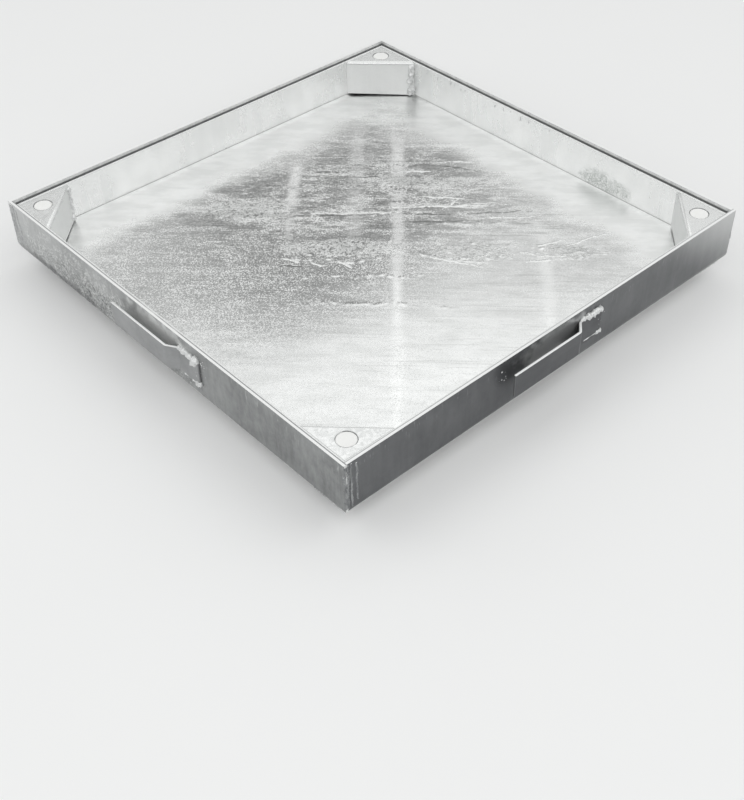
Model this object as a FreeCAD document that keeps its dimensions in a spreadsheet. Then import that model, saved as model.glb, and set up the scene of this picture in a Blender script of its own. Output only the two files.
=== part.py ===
import FreeCAD, Part
import math
import os
import Sketcher
from FreeCAD import Placement, Rotation, Vector

# Recessed paving cover: a welded tray for paving that lies in a folded angle frame
#
# Millimetres. +Z is up and X, Y run along the sides of the square frame. The origin is in the
# middle of the plan, at the height of the lower ends of the four nuts that the cover stands on.
# Every sub-part is drawn once, for the front side or for one corner, and turned about Z by
# quarter turns to the other three places.

doc = FreeCAD.newDocument("paving_cover")

# Two limits for the drawing helpers: how near two places are the same, and the least volume
# that a cut has to take away. The driving dimensions follow, one spreadsheet row each.

SAME_PLACE = 0.01
LEAST_CUT = 0.001

SIZES = [
    ("frame_side", 600, "outside of the frame, across two opposite walls"),
    ("frame_height", 70, "from the underside of the flange to the rim"),
    ("frame_sheet", 4, "sheet that the frame is folded from"),
    ("fold_inside", 7, "inside radius of the fold between wall and flange"),
    ("flange_width", 65, "from the outside of the wall to the flange's inner edge"),
    ("screw_inset", 29, "from the outside of both walls to a clamp screw's axis"),
    ("flange_hole", 14, "hole in the flange above a nut"),
    ("seam_width", 8, "weld run on the upright corner seam"),
    ("seam_rise", 0.6, "how far that run stands out"),
    ("edge_run_length", 52, "weld run on the rounded end of a flange"),
    ("edge_run_rise", 0.8, "how far that run stands out"),
    ("edge_run_span", 60, "degrees of the rounding that the run covers"),
    ("joint_run_length", 24, "weld run on the outer part of a flange joint"),
    ("joint_run_width", 6, "width of that run"),
    ("joint_run_rise", 0.5, "how far that run stands out"),
    ("lug_width", 30, "flat bar of the anchor lugs"),
    ("lug_sheet", 3, "thickness of that bar"),
    ("lug_seat", 35, "length of a lug that lies on the wall"),
    ("lug_slope", 12.5, "length of the joggle along the wall"),
    ("lug_free", 99, "length of a lug that stands off the wall"),
    ("lug_fold", 3, "inside radius of the lug's two folds"),
    ("lug_step_front", 11, "joggle depth, front and back lugs"),
    ("lug_step_side", 7.5, "joggle depth, left and right lugs"),
    ("lug_end_front", 62, "from the middle of the side to the welded end"),
    ("lug_end_right", 68, "the same on the right side"),
    ("lug_end_back", 65, "the same on the back"),
    ("lug_end_left", 77, "the same on the left side"),
    ("lug_drop_front", 12.5, "from the rim down to the lug's upper edge"),
    ("lug_drop_right", 13.5, "the same on the right side"),
    ("lug_drop_back", 13, "the same on the back"),
    ("lug_drop_left", 15, "the same on the left side"),
    ("lug_bead", 3, "leg of the bead along a lug's upper edge"),
    ("lug_tack", 9, "length of the tack under a lug"),
    ("thread_size", 12, "clamp screw thread"),
    ("thread_play", 0.1, "radial clearance between screw and nut"),
    ("nut_width", 18, "across the flats of a nut"),
    ("nut_height", 18, "height of a nut, which is also the stand of the frame"),
    ("nut_ring", 17.1, "diameter of the flat ring at a nut's lower end"),
    ("nut_chamfer", 1.2, "height of the chamfer around that ring"),
    ("nut_mouth", 1, "countersink at the lower end of a nut's thread"),
    ("nut_bead", 5, "leg of the beads that hold a nut"),
    ("nut_bead_length", 9, "length of those beads"),
    ("tray_gap", 2, "gap between the frame's wall and the tray's wall"),
    ("tray_drop", 5, "from the rim down to the top of the tray"),
    ("tray_sheet", 3, "flat bar of the tray's walls"),
    ("floor_sheet", 4, "plate of the tray's floor"),
    ("floor_hole", 13.5, "screw hole in the tray's floor"),
    ("pocket_leg", 67, "corner pocket, along the inside of the tray's wall"),
    ("pocket_sheet", 3, "sheet that a corner pocket is folded from"),
    ("pocket_fold", 1.5, "inside radius of its fold"),
    ("pocket_hole", 21.5, "hole in the top of a pocket"),
    ("web_gap_wide", 3, "gap under the web at its open end"),
    ("web_gap_narrow", 1.2, "gap under the web at its welded end"),
    ("pocket_bead", 4, "leg of the upright bead at the end of a web"),
    ("bead_round", 1.2, "radius of a bead's rounded face, as a share of its leg"),
    ("plug_fit", 0.05, "radial clearance of the plug in its hole"),
    ("plug_top", 2.5, "thickness of the plug's disc"),
    ("plug_skirt", 1.6, "wall of the plug's skirt"),
    ("plug_depth", 12, "length of the plug"),
    ("plug_edge", 0.7, "chamfer of the plug's upper edge"),
    ("plug_snap", 0.6, "how far the snap ring stands out below the pocket's top"),
    ("seal_width", 20, "rubber strip on the flange"),
    ("seal_height", 6, "height of the strip between flange and tray floor"),
    ("seal_inset", 2, "from the flange's inner edge to the strip"),
    ("seal_groove", 0.8, "depth of the groove between the strip's two lobes"),
    ("screw_length", 30, "clamp screw under its head"),
    ("screw_head", 18, "diameter of the screw's head"),
    ("screw_head_height", 12, "height of the screw's head"),
    ("screw_socket", 10, "across the flats of the socket in the head"),
    ("screw_socket_depth", 6, "depth of that socket"),
    ("screw_head_edge", 1, "chamfer of the head's upper edge"),
    ("screw_point", 1.5, "chamfer at the screw's end"),
    ("washer_size", 20, "outside of the washer, which passes the pocket's hole"),
    ("washer_hole", 13, "inside of the washer"),
    ("washer_height", 2, "thickness of the washer"),
]

# Places that follow from the driving dimensions

LAYOUT = [
    ("half", "Sizes.frame_side / 2"),
    ("wall_in", "half - Sizes.frame_sheet"),
    ("flange_in", "half - Sizes.flange_width"),
    ("flange_low", "Sizes.nut_height"),
    ("flange_top", "flange_low + Sizes.frame_sheet"),
    ("rim", "flange_low + Sizes.frame_height"),
    ("fold_out", "Sizes.fold_inside + Sizes.frame_sheet"),
    ("fold_line", "half - fold_out"),
    ("fold_top", "flange_low + fold_out"),
    ("screw_at", "half - Sizes.screw_inset"),
    ("tray_out", "wall_in - Sizes.tray_gap"),
    ("tray_in", "tray_out - Sizes.tray_sheet"),
    ("floor_low", "flange_top + Sizes.seal_height"),
    ("floor_top", "floor_low + Sizes.floor_sheet"),
    ("tray_top", "rim - Sizes.tray_drop"),
    ("pocket_under", "tray_top - Sizes.pocket_sheet"),
    ("apex", "tray_in * sqrt(2)"),
    ("web_half", "Sizes.pocket_leg / sqrt(2)"),
    ("web_front", "apex - web_half"),
    ("web_back", "web_front + Sizes.pocket_sheet"),
    ("hole_diagonal", "screw_at * sqrt(2)"),
    ("seal_in", "flange_in + Sizes.seal_inset"),
    ("seal_out", "seal_in + Sizes.seal_width"),
    ("lobe_round", "(Sizes.seal_height^2 / 16 + Sizes.seal_groove^2) / (2 * Sizes.seal_groove)"),
    ("head_low", "floor_top + Sizes.washer_height"),
    ("head_top", "head_low + Sizes.screw_head_height"),
    ("screw_end", "head_low - Sizes.screw_length"),
    ("plug_low", "tray_top - Sizes.plug_depth"),
    ("plug_radius", "Sizes.pocket_hole / 2 - Sizes.plug_fit"),
    ("nut_across", "Sizes.nut_width / sqrt(3)"),
    ("nut_bore", "Sizes.thread_size / 2 + Sizes.thread_play"),
    ("socket_across", "Sizes.screw_socket / sqrt(3)"),
    ("pocket_round", "Sizes.pocket_fold + Sizes.pocket_sheet"),
    ("seam_round", "(Sizes.seam_width^2 / 4 + Sizes.seam_rise^2) / (2 * Sizes.seam_rise)"),
    ("joint_round",
     "(Sizes.joint_run_width^2 / 4 + Sizes.joint_run_rise^2) / (2 * Sizes.joint_run_rise)"),
    ("edge_chord", "2 * fold_out * sin(Sizes.edge_run_span / 2)"),
    ("edge_rise", "fold_out * (1 - cos(Sizes.edge_run_span / 2)) + Sizes.edge_run_rise"),
    ("edge_round", "(edge_chord^2 / 4 + edge_rise^2) / (2 * edge_rise)"),
    ("margin", "Sizes.frame_sheet", "how far the outline of a cut reaches past the piece that it cuts"),
]


def fill_sheet(name, rows, prefix):
    """A spreadsheet with a name, a value or formula and an alias in each row."""
    sheet = doc.addObject("Spreadsheet::Sheet", name)
    for number, row in enumerate(rows, start=1):
        sheet.set("A%d" % number, row[0])
        sheet.set("B%d" % number, prefix + str(row[1]))
        sheet.setAlias("B%d" % number, row[0])
        if len(row) > 2:
            sheet.set("C%d" % number, row[2])
    return sheet


sizes = fill_sheet("Sizes", SIZES, "")
layout = fill_sheet("Layout", LAYOUT, "=")
doc.recompute()


def value(expression):
    """The number that an expression on the two sheets gives now."""
    result = layout.evalExpression(expression)
    return float(getattr(result, "Value", result))


# Drawing helpers: every point of an outline is tied to the sheets by two dimensions


def new_body(label):
    body = doc.addObject("PartDesign::Body", label)
    body.Label = label
    return body


def new_sketch(body, name, role, lift=None):
    """A sketch on one of the body's own origin planes, lifted along the plane's normal."""
    sketch = body.newObject("Sketcher::SketchObject", body.Name + "_" + name)
    planes = [item for item in body.Origin.OriginFeatures if item.Role == role]
    sketch.AttachmentSupport = [(planes[0], "")]
    sketch.MapMode = "FlatFace"
    if lift is not None:
        sketch.setExpression(".AttachmentOffset.Base.z", lift)
    return sketch


def tie(sketch, kind, geometry, point, expression):
    """One dimension from the sketch's origin to a point, bound to an expression."""
    where = Sketcher.Constraint(kind, -1, 1, geometry, point, value(expression))
    index = sketch.addConstraint(where)
    sketch.setExpression("Constraints[%d]" % index, expression)


def tie_radius(sketch, geometry, expression):
    index = sketch.addConstraint(Sketcher.Constraint("Radius", geometry, value(expression)))
    sketch.setExpression("Constraints[%d]" % index, expression)


def arc_between(start, end, radius, side):
    """The shorter arc from start to end, with its centre on the given side of the way."""
    chord = end - start
    half_chord = chord.Length / 2
    reach = math.sqrt(radius ** 2 - half_chord ** 2)
    left = Vector(-chord.y, chord.x, 0).normalize()
    sign = 1 if side == "left" else -1
    centre = (start + end) * 0.5 + left * (sign * reach)
    first, last = (start, end) if side == "left" else (end, start)
    angles = [math.atan2(spot.y - centre.y, spot.x - centre.x) for spot in (first, last)]
    return Part.ArcOfCircle(Part.Circle(centre, Vector(0, 0, 1), radius), angles[0], angles[1])


def outline(sketch, corners):
    """A closed outline. A corner is (x, y), or (x, y, radius, side) where an arc leaves it."""
    spots = [Vector(value(corner[0]), value(corner[1]), 0) for corner in corners]
    runs = []
    for number, corner in enumerate(corners):
        start = spots[number]
        end = spots[(number + 1) % len(spots)]
        if len(corner) == 2:
            geometry = sketch.addGeometry(Part.LineSegment(start, end), False)
            runs.append((geometry, 1, 2))
        else:
            arc = arc_between(start, end, value(corner[2]), corner[3])
            geometry = sketch.addGeometry(arc, False)
            runs.append((geometry, 1, 2) if corner[3] == "left" else (geometry, 2, 1))
    for number, (geometry, first, last) in enumerate(runs):
        following = runs[(number + 1) % len(runs)]
        joined = Sketcher.Constraint("Coincident", geometry, last, following[0], following[1])
        sketch.addConstraint(joined)
    for (geometry, first, last), corner in zip(runs, corners):
        tie(sketch, "DistanceX", geometry, first, corner[0])
        tie(sketch, "DistanceY", geometry, first, corner[1])
        if len(corner) > 2:
            tie_radius(sketch, geometry, corner[2])


def rectangle(sketch, left, low, right, high):
    outline(sketch, [(left, low), (right, low), (right, high), (left, high)])


def circle(sketch, x, y, radius):
    centre = Vector(value(x), value(y), 0)
    geometry = sketch.addGeometry(Part.Circle(centre, Vector(0, 0, 1), value(radius)), False)
    tie(sketch, "DistanceX", geometry, 3, x)
    tie(sketch, "DistanceY", geometry, 3, y)
    tie_radius(sketch, geometry, radius)


def hexagon(sketch, across):
    """A hexagon about the origin with one flat square to X; across is its short corner reach."""
    outline(sketch, [
        ("%s * sqrt(3) / 2" % across, "-%s / 2" % across),
        ("%s * sqrt(3) / 2" % across, "%s / 2" % across),
        ("0", across),
        ("-%s * sqrt(3) / 2" % across, "%s / 2" % across),
        ("-%s * sqrt(3) / 2" % across, "-%s / 2" % across),
        ("0", "-%s" % across),
    ])


def pad(body, sketch, length, symmetric=False):
    feature = body.newObject("PartDesign::Pad", sketch.Name + "_pad")
    feature.Profile = sketch
    feature.setExpression("Length", length)
    if symmetric:
        feature.SideType = "Symmetric"
    doc.recompute()
    return feature


def pocket(body, sketch, length=None, towards_normal=False):
    """A cut through everything both ways, or to a length on one side of its sketch."""
    before = body.Shape.Volume
    feature = body.newObject("PartDesign::Pocket", sketch.Name + "_cut")
    feature.Profile = sketch
    if length is None:
        feature.Type = "ThroughAll"
        feature.SideType = "Symmetric"
    else:
        feature.setExpression("Length", length)
        feature.Reversed = towards_normal
    doc.recompute()
    if body.Shape.Volume > before - LEAST_CUT:
        raise RuntimeError(sketch.Name + " cuts nothing")
    return feature


def turned(body, sketch, kind="PartDesign::Revolution"):
    """The sketch turned once about Z, as material or as a groove."""
    feature = body.newObject(kind, sketch.Name + "_turn")
    feature.Profile = sketch
    feature.ReferenceAxis = (sketch, ["V_Axis"])
    feature.Angle = 360
    doc.recompute()
    return feature


def round_edges(body, name, radius, chosen):
    """A fillet on the edges of the body's tip that the test picks out."""
    base = body.Tip
    names = ["Edge%d" % (number + 1) for number, edge in enumerate(base.Shape.Edges) if chosen(edge)]
    feature = body.newObject("PartDesign::Fillet", body.Name + "_" + name)
    feature.Base = (base, names)
    feature.setExpression("Radius", radius)
    doc.recompute()
    return feature


def along(axis, first, second):
    """A test for straight edges along an axis at two given places on the other axes."""
    others = [name for name in "xyz" if name != axis]

    def chosen(edge):
        ends = [vertex.Point for vertex in edge.Vertexes]
        if len(ends) != 2:
            return False
        return all(abs(getattr(end, others[0]) - first) < SAME_PLACE
                   and abs(getattr(end, others[1]) - second) < SAME_PLACE for end in ends)

    return chosen


def quarter(number, extra=0):
    """The placement that turns a sub-part about Z to one of its four places."""
    return Placement(Vector(0, 0, 0), Rotation(Vector(0, 0, 1), 90 * number + extra))


SIDES = ["front", "right", "back", "left"]
CORNERS = ["front_left", "front_right", "back_right", "back_left"]

# Frame sides
#
# The flange of each side runs through at the corner on its own left, seen from outside, and
# its wall runs through at the corner on its right. So every wall end stands on the
# neighbour's flange, and every flange end butts against the neighbour's flange edge.


def frame_side(number, name):
    body = new_body("frame_" + name)
    section = new_sketch(body, "section", "YZ_Plane")
    outline(section, [
        ("-Layout.half", "Layout.flange_low"),
        ("-Layout.flange_in", "Layout.flange_low"),
        ("-Layout.flange_in", "Layout.flange_top"),
        ("-Layout.wall_in", "Layout.flange_top"),
        ("-Layout.wall_in", "Layout.rim"),
        ("-Layout.half", "Layout.rim"),
    ])
    pad(body, section, "Sizes.frame_side", symmetric=True)
    round_edges(body, "outer_fold", "Layout.fold_out",
                along("x", -value("Layout.half"), value("Layout.flange_low")))
    round_edges(body, "inner_fold", "Sizes.fold_inside",
                along("x", -value("Layout.wall_in"), value("Layout.flange_top")))

    wall_end = new_sketch(body, "wall_end", "XZ_Plane")
    rectangle(wall_end, "-Layout.half - Layout.margin", "Layout.flange_top",
              "-Layout.wall_in", "Layout.rim + Layout.margin")
    pocket(body, wall_end)

    flange_end = new_sketch(body, "flange_end", "XZ_Plane")
    rectangle(flange_end, "Layout.flange_in", "Layout.flange_low - Layout.margin",
              "Layout.half + Layout.margin", "Layout.flange_top")
    pocket(body, flange_end)

    fold_end = new_sketch(body, "fold_end", "XZ_Plane", "Layout.wall_in")
    rectangle(fold_end, "Layout.fold_line", "Layout.flange_top",
              "Layout.half + Layout.margin", "Layout.fold_top")
    pocket(body, fold_end, "Layout.fold_out")

    round_off = new_sketch(body, "round_off", "XZ_Plane")
    outline(round_off, [
        ("-Layout.half - Layout.margin", "Layout.flange_low - Layout.margin"),
        ("-Layout.fold_line", "Layout.flange_low - Layout.margin"),
        ("-Layout.fold_line", "Layout.flange_low", "Layout.fold_out", "right"),
        ("-Layout.half", "Layout.fold_top"),
        ("-Layout.half - Layout.margin", "Layout.fold_top"),
    ])
    outline(round_off, [
        ("Layout.half + Layout.margin", "Layout.flange_low - Layout.margin"),
        ("Layout.half + Layout.margin", "Layout.fold_top"),
        ("Layout.half", "Layout.fold_top", "Layout.fold_out", "right"),
        ("Layout.fold_line", "Layout.flange_low"),
        ("Layout.fold_line", "Layout.flange_low - Layout.margin"),
    ])
    pocket(body, round_off)

    screw_hole = new_sketch(body, "screw_hole", "XY_Plane")
    circle(screw_hole, "-Layout.screw_at", "-Layout.screw_at", "Sizes.flange_hole / 2")
    pocket(body, screw_hole)
    body.Placement = quarter(number)
    return body


# Corner welds
#
# The upright seam is where the next wall's end shows beside the corner. A second run covers
# the rounded end of the flange that passes under that wall, and a third the outer part of
# the joint between the two flanges.


def corner_weld(number, name):
    body = new_body("corner_weld_" + name)
    seam = new_sketch(body, "seam", "XY_Plane", "Layout.fold_top")
    outline(seam, [
        ("-Layout.half", "-Layout.half", "Layout.seam_round", "left"),
        ("-Layout.half + Sizes.seam_width", "-Layout.half"),
    ])
    pad(body, seam, "Layout.rim - Layout.fold_top")

    edge_run = new_sketch(body, "edge_run", "XZ_Plane", "Layout.half - Sizes.edge_run_length")
    near = "Sizes.edge_run_span / 2"
    upper = ("-Layout.fold_line - Layout.fold_out * cos(45 - %s)" % near,
             "Layout.fold_top - Layout.fold_out * sin(45 - %s)" % near)
    lower = ("-Layout.fold_line - Layout.fold_out * cos(45 + %s)" % near,
             "Layout.fold_top - Layout.fold_out * sin(45 + %s)" % near)
    outline(edge_run, [
        upper + ("Layout.edge_round", "left"),
        lower + ("Layout.fold_out", "right"),
    ])
    pad(body, edge_run, "Sizes.edge_run_length - Layout.fold_out")
    body.Placement = quarter(number)
    return body


def flange_weld(number, name):
    body = new_body("flange_weld_" + name)
    run = new_sketch(body, "run", "YZ_Plane", "-Layout.fold_line")
    near = "Sizes.joint_run_width / 2"
    outline(run, [
        ("-Layout.flange_in - " + near, "Layout.flange_low", "Layout.joint_round", "left"),
        ("-Layout.flange_in + " + near, "Layout.flange_low"),
    ])
    pad(body, run, "Sizes.joint_run_length")
    body.Placement = quarter(number)
    return body


# Anchor lugs
#
# A flat bar with a joggle: its right end lies on the wall and is welded there, the rest
# stands off the wall so that mortar can close around it.


def anchor_lug(number, name, step, end, drop):
    body = new_body("anchor_lug_" + name)
    lower_edge = "Layout.rim - %s - Sizes.lug_width" % drop
    plan = new_sketch(body, "plan", "XY_Plane", lower_edge)
    inner_fold = "%s - Sizes.lug_seat" % end
    outer_fold = "%s - Sizes.lug_slope" % inner_fold
    free_end = "%s - Sizes.lug_free" % outer_fold
    shift = "Sizes.lug_sheet * tan(atan(%s / Sizes.lug_slope) / 2)" % step
    wall = "-Layout.half"
    standing = "-Layout.half - %s" % step
    outline(plan, [
        (end, wall),
        (inner_fold, wall),
        (outer_fold, standing),
        (free_end, standing),
        (free_end, standing + " - Sizes.lug_sheet"),
        (outer_fold + " + " + shift, standing + " - Sizes.lug_sheet"),
        (inner_fold + " + " + shift, wall + " - Sizes.lug_sheet"),
        (end, wall + " - Sizes.lug_sheet"),
    ])
    pad(body, plan, "Sizes.lug_width")
    tight = [
        along("z", value(outer_fold), value(standing)),
        along("z", value(inner_fold + " + " + shift), value(wall + " - Sizes.lug_sheet")),
    ]
    wide = [
        along("z", value(inner_fold), value(wall)),
        along("z", value(outer_fold + " + " + shift), value(standing + " - Sizes.lug_sheet")),
    ]
    round_edges(body, "tight_folds", "Sizes.lug_fold", lambda edge: any(test(edge) for test in tight))
    round_edges(body, "wide_folds", "Sizes.lug_fold + Sizes.lug_sheet",
                lambda edge: any(test(edge) for test in wide))
    body.Placement = quarter(number)
    return body


def lug_weld(number, name, end, drop):
    body = new_body("lug_weld_" + name)
    upper_edge = "Layout.rim - %s" % drop
    lower_edge = upper_edge + " - Sizes.lug_width"
    wall = "-Layout.half"
    face = "-Layout.half - Sizes.lug_sheet"
    bead = new_sketch(body, "bead", "YZ_Plane", "%s - Sizes.lug_seat" % end)
    outline(bead, [
        (wall, upper_edge),
        (face, upper_edge, "Sizes.lug_bead * Sizes.bead_round", "right"),
        (wall, upper_edge + " + Sizes.lug_bead"),
    ])
    pad(body, bead, "Sizes.lug_seat")
    tack = new_sketch(body, "tack", "YZ_Plane", "%s - Sizes.lug_tack" % end)
    outline(tack, [
        (wall, lower_edge),
        (wall, lower_edge + " - Sizes.lug_bead", "Sizes.lug_bead * Sizes.bead_round", "right"),
        (face, lower_edge),
    ])
    pad(body, tack, "Sizes.lug_tack")
    body.Placement = quarter(number)
    return body


# Nuts, screws, washers and plugs
#
# The four of each kind are alike, so they share one sub-part: one is drawn on the screw axis
# of the front left corner, with a flat towards that corner, and a polar pattern sets the rest.


def screw_axis_sketch(body, name, role, lift=None, turn=45):
    """A sketch with its own origin on the front left screw axis, turned about that axis."""
    sketch = new_sketch(body, name, role)
    level = role == "XY_Plane"
    upright = Vector(0, 0, 1) if level else Vector(0, 1, 0)
    sketch.AttachmentOffset = Placement(Vector(0, 0, 0), Rotation(upright, turn))
    sketch.setExpression(".AttachmentOffset.Base.x", "-Layout.screw_at")
    if level:
        sketch.setExpression(".AttachmentOffset.Base.y", "-Layout.screw_at")
        if lift is not None:
            sketch.setExpression(".AttachmentOffset.Base.z", lift)
    else:
        sketch.setExpression(".AttachmentOffset.Base.z", "Layout.screw_at")
    return sketch


def at_all_corners(body, features):
    """The features again at the other three corners."""
    axes = [item for item in body.Origin.OriginFeatures if item.Role == "Z_Axis"]
    pattern = body.newObject("PartDesign::PolarPattern", body.Name + "_corners")
    pattern.Originals = features
    pattern.Axis = (axes[0], [""])
    pattern.Angle = 360
    pattern.Occurrences = len(CORNERS)
    body.Tip = pattern
    doc.recompute()
    return body


def clamp_nuts():
    body = new_body("clamp_nuts")
    blank = screw_axis_sketch(body, "blank", "XY_Plane")
    hexagon(blank, "Layout.nut_across")
    hexagon_pad = pad(body, blank, "Sizes.nut_height")
    bore = screw_axis_sketch(body, "bore", "XY_Plane")
    circle(bore, "0", "0", "Layout.nut_bore")
    bore_cut = pocket(body, bore)
    end_chamfer = screw_axis_sketch(body, "end_chamfer", "XZ_Plane")
    outline(end_chamfer, [
        ("Sizes.nut_ring / 2", "0"),
        ("Sizes.nut_ring / 2", "-Layout.margin"),
        ("Layout.nut_across + Layout.margin", "-Layout.margin"),
        ("Layout.nut_across + Layout.margin", "Sizes.nut_chamfer"),
        ("Layout.nut_across", "Sizes.nut_chamfer"),
    ])
    chamfer_cut = turned(body, end_chamfer, "PartDesign::Groove")
    mouth = screw_axis_sketch(body, "mouth", "XZ_Plane")
    outline(mouth, [
        ("0", "-Layout.margin"),
        ("Layout.nut_bore + Sizes.nut_mouth", "-Layout.margin"),
        ("Layout.nut_bore + Sizes.nut_mouth", "0"),
        ("Layout.nut_bore", "Sizes.nut_mouth"),
        ("0", "Sizes.nut_mouth"),
    ])
    mouth_cut = turned(body, mouth, "PartDesign::Groove")
    return at_all_corners(body, [hexagon_pad, bore_cut, chamfer_cut, mouth_cut])


def nut_welds():
    """A bead on every second flat of each nut, the first on the flat that faces the corner."""
    body = new_body("nut_welds")
    flat = "-Sizes.nut_width / 2"
    bead_round = "Sizes.nut_bead * Sizes.bead_round"
    beads = []
    for number in range(3):
        bead = screw_axis_sketch(body, "bead_%d" % number, "XZ_Plane", turn=45 + 120 * number)
        outline(bead, [
            (flat, "Layout.flange_low"),
            (flat + " - Sizes.nut_bead", "Layout.flange_low", bead_round, "left"),
            (flat, "Layout.flange_low - Sizes.nut_bead"),
        ])
        beads.append(pad(body, bead, "Sizes.nut_bead_length", symmetric=True))
    return at_all_corners(body, beads)


def clamp_screws():
    body = new_body("clamp_screws")
    half_section = screw_axis_sketch(body, "half_section", "XZ_Plane")
    shank = "Sizes.thread_size / 2"
    head = "Sizes.screw_head / 2"
    outline(half_section, [
        ("0", "Layout.screw_end"),
        (shank + " - Sizes.screw_point", "Layout.screw_end"),
        (shank, "Layout.screw_end + Sizes.screw_point"),
        (shank, "Layout.head_low"),
        (head, "Layout.head_low"),
        (head, "Layout.head_top - Sizes.screw_head_edge"),
        (head + " - Sizes.screw_head_edge", "Layout.head_top"),
        ("0", "Layout.head_top"),
    ])
    blank = turned(body, half_section)
    socket = screw_axis_sketch(body, "socket", "XY_Plane", "Layout.head_top")
    hexagon(socket, "Layout.socket_across")
    socket_cut = pocket(body, socket, "Sizes.screw_socket_depth")
    return at_all_corners(body, [blank, socket_cut])


def seal_washers():
    body = new_body("seal_washers")
    ring = screw_axis_sketch(body, "ring", "XY_Plane", "Layout.floor_top")
    circle(ring, "0", "0", "Sizes.washer_size / 2")
    circle(ring, "0", "0", "Sizes.washer_hole / 2")
    return at_all_corners(body, [pad(body, ring, "Sizes.washer_height")])


def hole_plugs():
    """A cap in each pocket's hole, over the screw, with a snap ring under the pocket's top."""
    body = new_body("hole_plugs")
    half_section = screw_axis_sketch(body, "half_section", "XZ_Plane")
    skirt_in = "Layout.plug_radius - Sizes.plug_skirt"
    disc_low = "Layout.tray_top - Sizes.plug_top"
    outline(half_section, [
        ("0", disc_low),
        (skirt_in, disc_low),
        (skirt_in, "Layout.plug_low"),
        ("Layout.plug_radius - Sizes.plug_skirt / 2", "Layout.plug_low"),
        ("Layout.plug_radius + Sizes.plug_snap", "Layout.pocket_under"),
        ("Layout.plug_radius", "Layout.pocket_under"),
        ("Layout.plug_radius", "Layout.tray_top - Sizes.plug_edge"),
        ("Layout.plug_radius - Sizes.plug_edge", "Layout.tray_top"),
        ("0", "Layout.tray_top"),
    ])
    return at_all_corners(body, [turned(body, half_section)])


# Cover tray
#
# Four flat bars stand on the edge of a plate, each butting against the next one.


def tray_floor():
    body = new_body("tray_floor")
    plate = new_sketch(body, "plate", "XY_Plane", "Layout.floor_low")
    rectangle(plate, "-Layout.tray_out", "-Layout.tray_out", "Layout.tray_out", "Layout.tray_out")
    pad(body, plate, "Sizes.floor_sheet")
    holes = new_sketch(body, "holes", "XY_Plane")
    for x in ("-Layout.screw_at", "Layout.screw_at"):
        for y in ("-Layout.screw_at", "Layout.screw_at"):
            circle(holes, x, y, "Sizes.floor_hole / 2")
    pocket(body, holes)
    return body


def tray_wall(number, name):
    body = new_body("tray_wall_" + name)
    plan = new_sketch(body, "plan", "XY_Plane", "Layout.floor_top")
    rectangle(plan, "-Layout.tray_out", "-Layout.tray_out", "Layout.tray_in", "-Layout.tray_in")
    pad(body, plan, "Layout.tray_top - Layout.floor_top")
    body.Placement = quarter(number)
    return body


# Corner pockets
#
# Each is drawn with its corner of the tray towards -Y: a sheet folded from a level top to an
# upright web, then cut to the right angle between the two tray walls.


def corner_pocket(number, name):
    body = new_body("corner_pocket_" + name)
    section = new_sketch(body, "section", "YZ_Plane")
    outline(section, [
        ("-Layout.web_front", "Layout.floor_top"),
        ("-Layout.web_front", "Layout.tray_top"),
        ("-Layout.apex", "Layout.tray_top"),
        ("-Layout.apex", "Layout.pocket_under"),
        ("-Layout.web_back", "Layout.pocket_under"),
        ("-Layout.web_back", "Layout.floor_top"),
    ])
    pad(body, section, "2 * Layout.web_half", symmetric=True)
    round_edges(body, "outer_fold", "Layout.pocket_round",
                along("x", -value("Layout.web_front"), value("Layout.tray_top")))
    round_edges(body, "inner_fold", "Sizes.pocket_fold",
                along("x", -value("Layout.web_back"), value("Layout.pocket_under")))

    reach = "(Layout.web_half + Layout.margin)"
    corner_cut = new_sketch(body, "corner_cut", "XY_Plane")
    outline(corner_cut, [
        ("0", "-Layout.apex"),
        ("0", "-Layout.apex - Layout.margin"),
        (reach, "-Layout.apex - Layout.margin"),
        (reach, reach + " - Layout.apex"),
    ])
    outline(corner_cut, [
        ("0", "-Layout.apex"),
        ("-" + reach, reach + " - Layout.apex"),
        ("-" + reach, "-Layout.apex - Layout.margin"),
        ("0", "-Layout.apex - Layout.margin"),
    ])
    pocket(body, corner_cut)

    web_foot = new_sketch(body, "web_foot", "XZ_Plane")
    outline(web_foot, [
        ("-Layout.web_half", "Layout.floor_top - Layout.margin"),
        ("Layout.web_half", "Layout.floor_top - Layout.margin"),
        ("Layout.web_half", "Layout.floor_top + Sizes.web_gap_wide"),
        ("-Layout.web_half", "Layout.floor_top + Sizes.web_gap_narrow"),
    ])
    pocket(body, web_foot)

    plug_hole = new_sketch(body, "plug_hole", "XY_Plane")
    circle(plug_hole, "0", "-Layout.hole_diagonal", "Sizes.pocket_hole / 2")
    pocket(body, plug_hole)
    body.Placement = quarter(number, extra=-45)
    return body


def pocket_weld(number, name):
    body = new_body("pocket_weld_" + name)
    plan = new_sketch(body, "plan", "XY_Plane", "Layout.floor_top + Sizes.web_gap_narrow")
    bead_round = "Sizes.pocket_bead * Sizes.bead_round"
    on_wall = "Sizes.pocket_bead / sqrt(2)"
    outline(plan, [
        ("-Layout.web_half", "-Layout.web_front"),
        ("-Layout.web_half + Sizes.pocket_bead", "-Layout.web_front", bead_round, "left"),
        ("-Layout.web_half - " + on_wall, "-Layout.web_front + " + on_wall),
    ])
    pad(body, plan, "Layout.tray_top - Layout.pocket_round - Layout.floor_top - Sizes.web_gap_narrow")
    body.Placement = quarter(number, extra=-45)
    return body


# Seal strips
#
# Rubber with two lobes along the edge that shows in the opening. Each strip butts against
# the next one.


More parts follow.
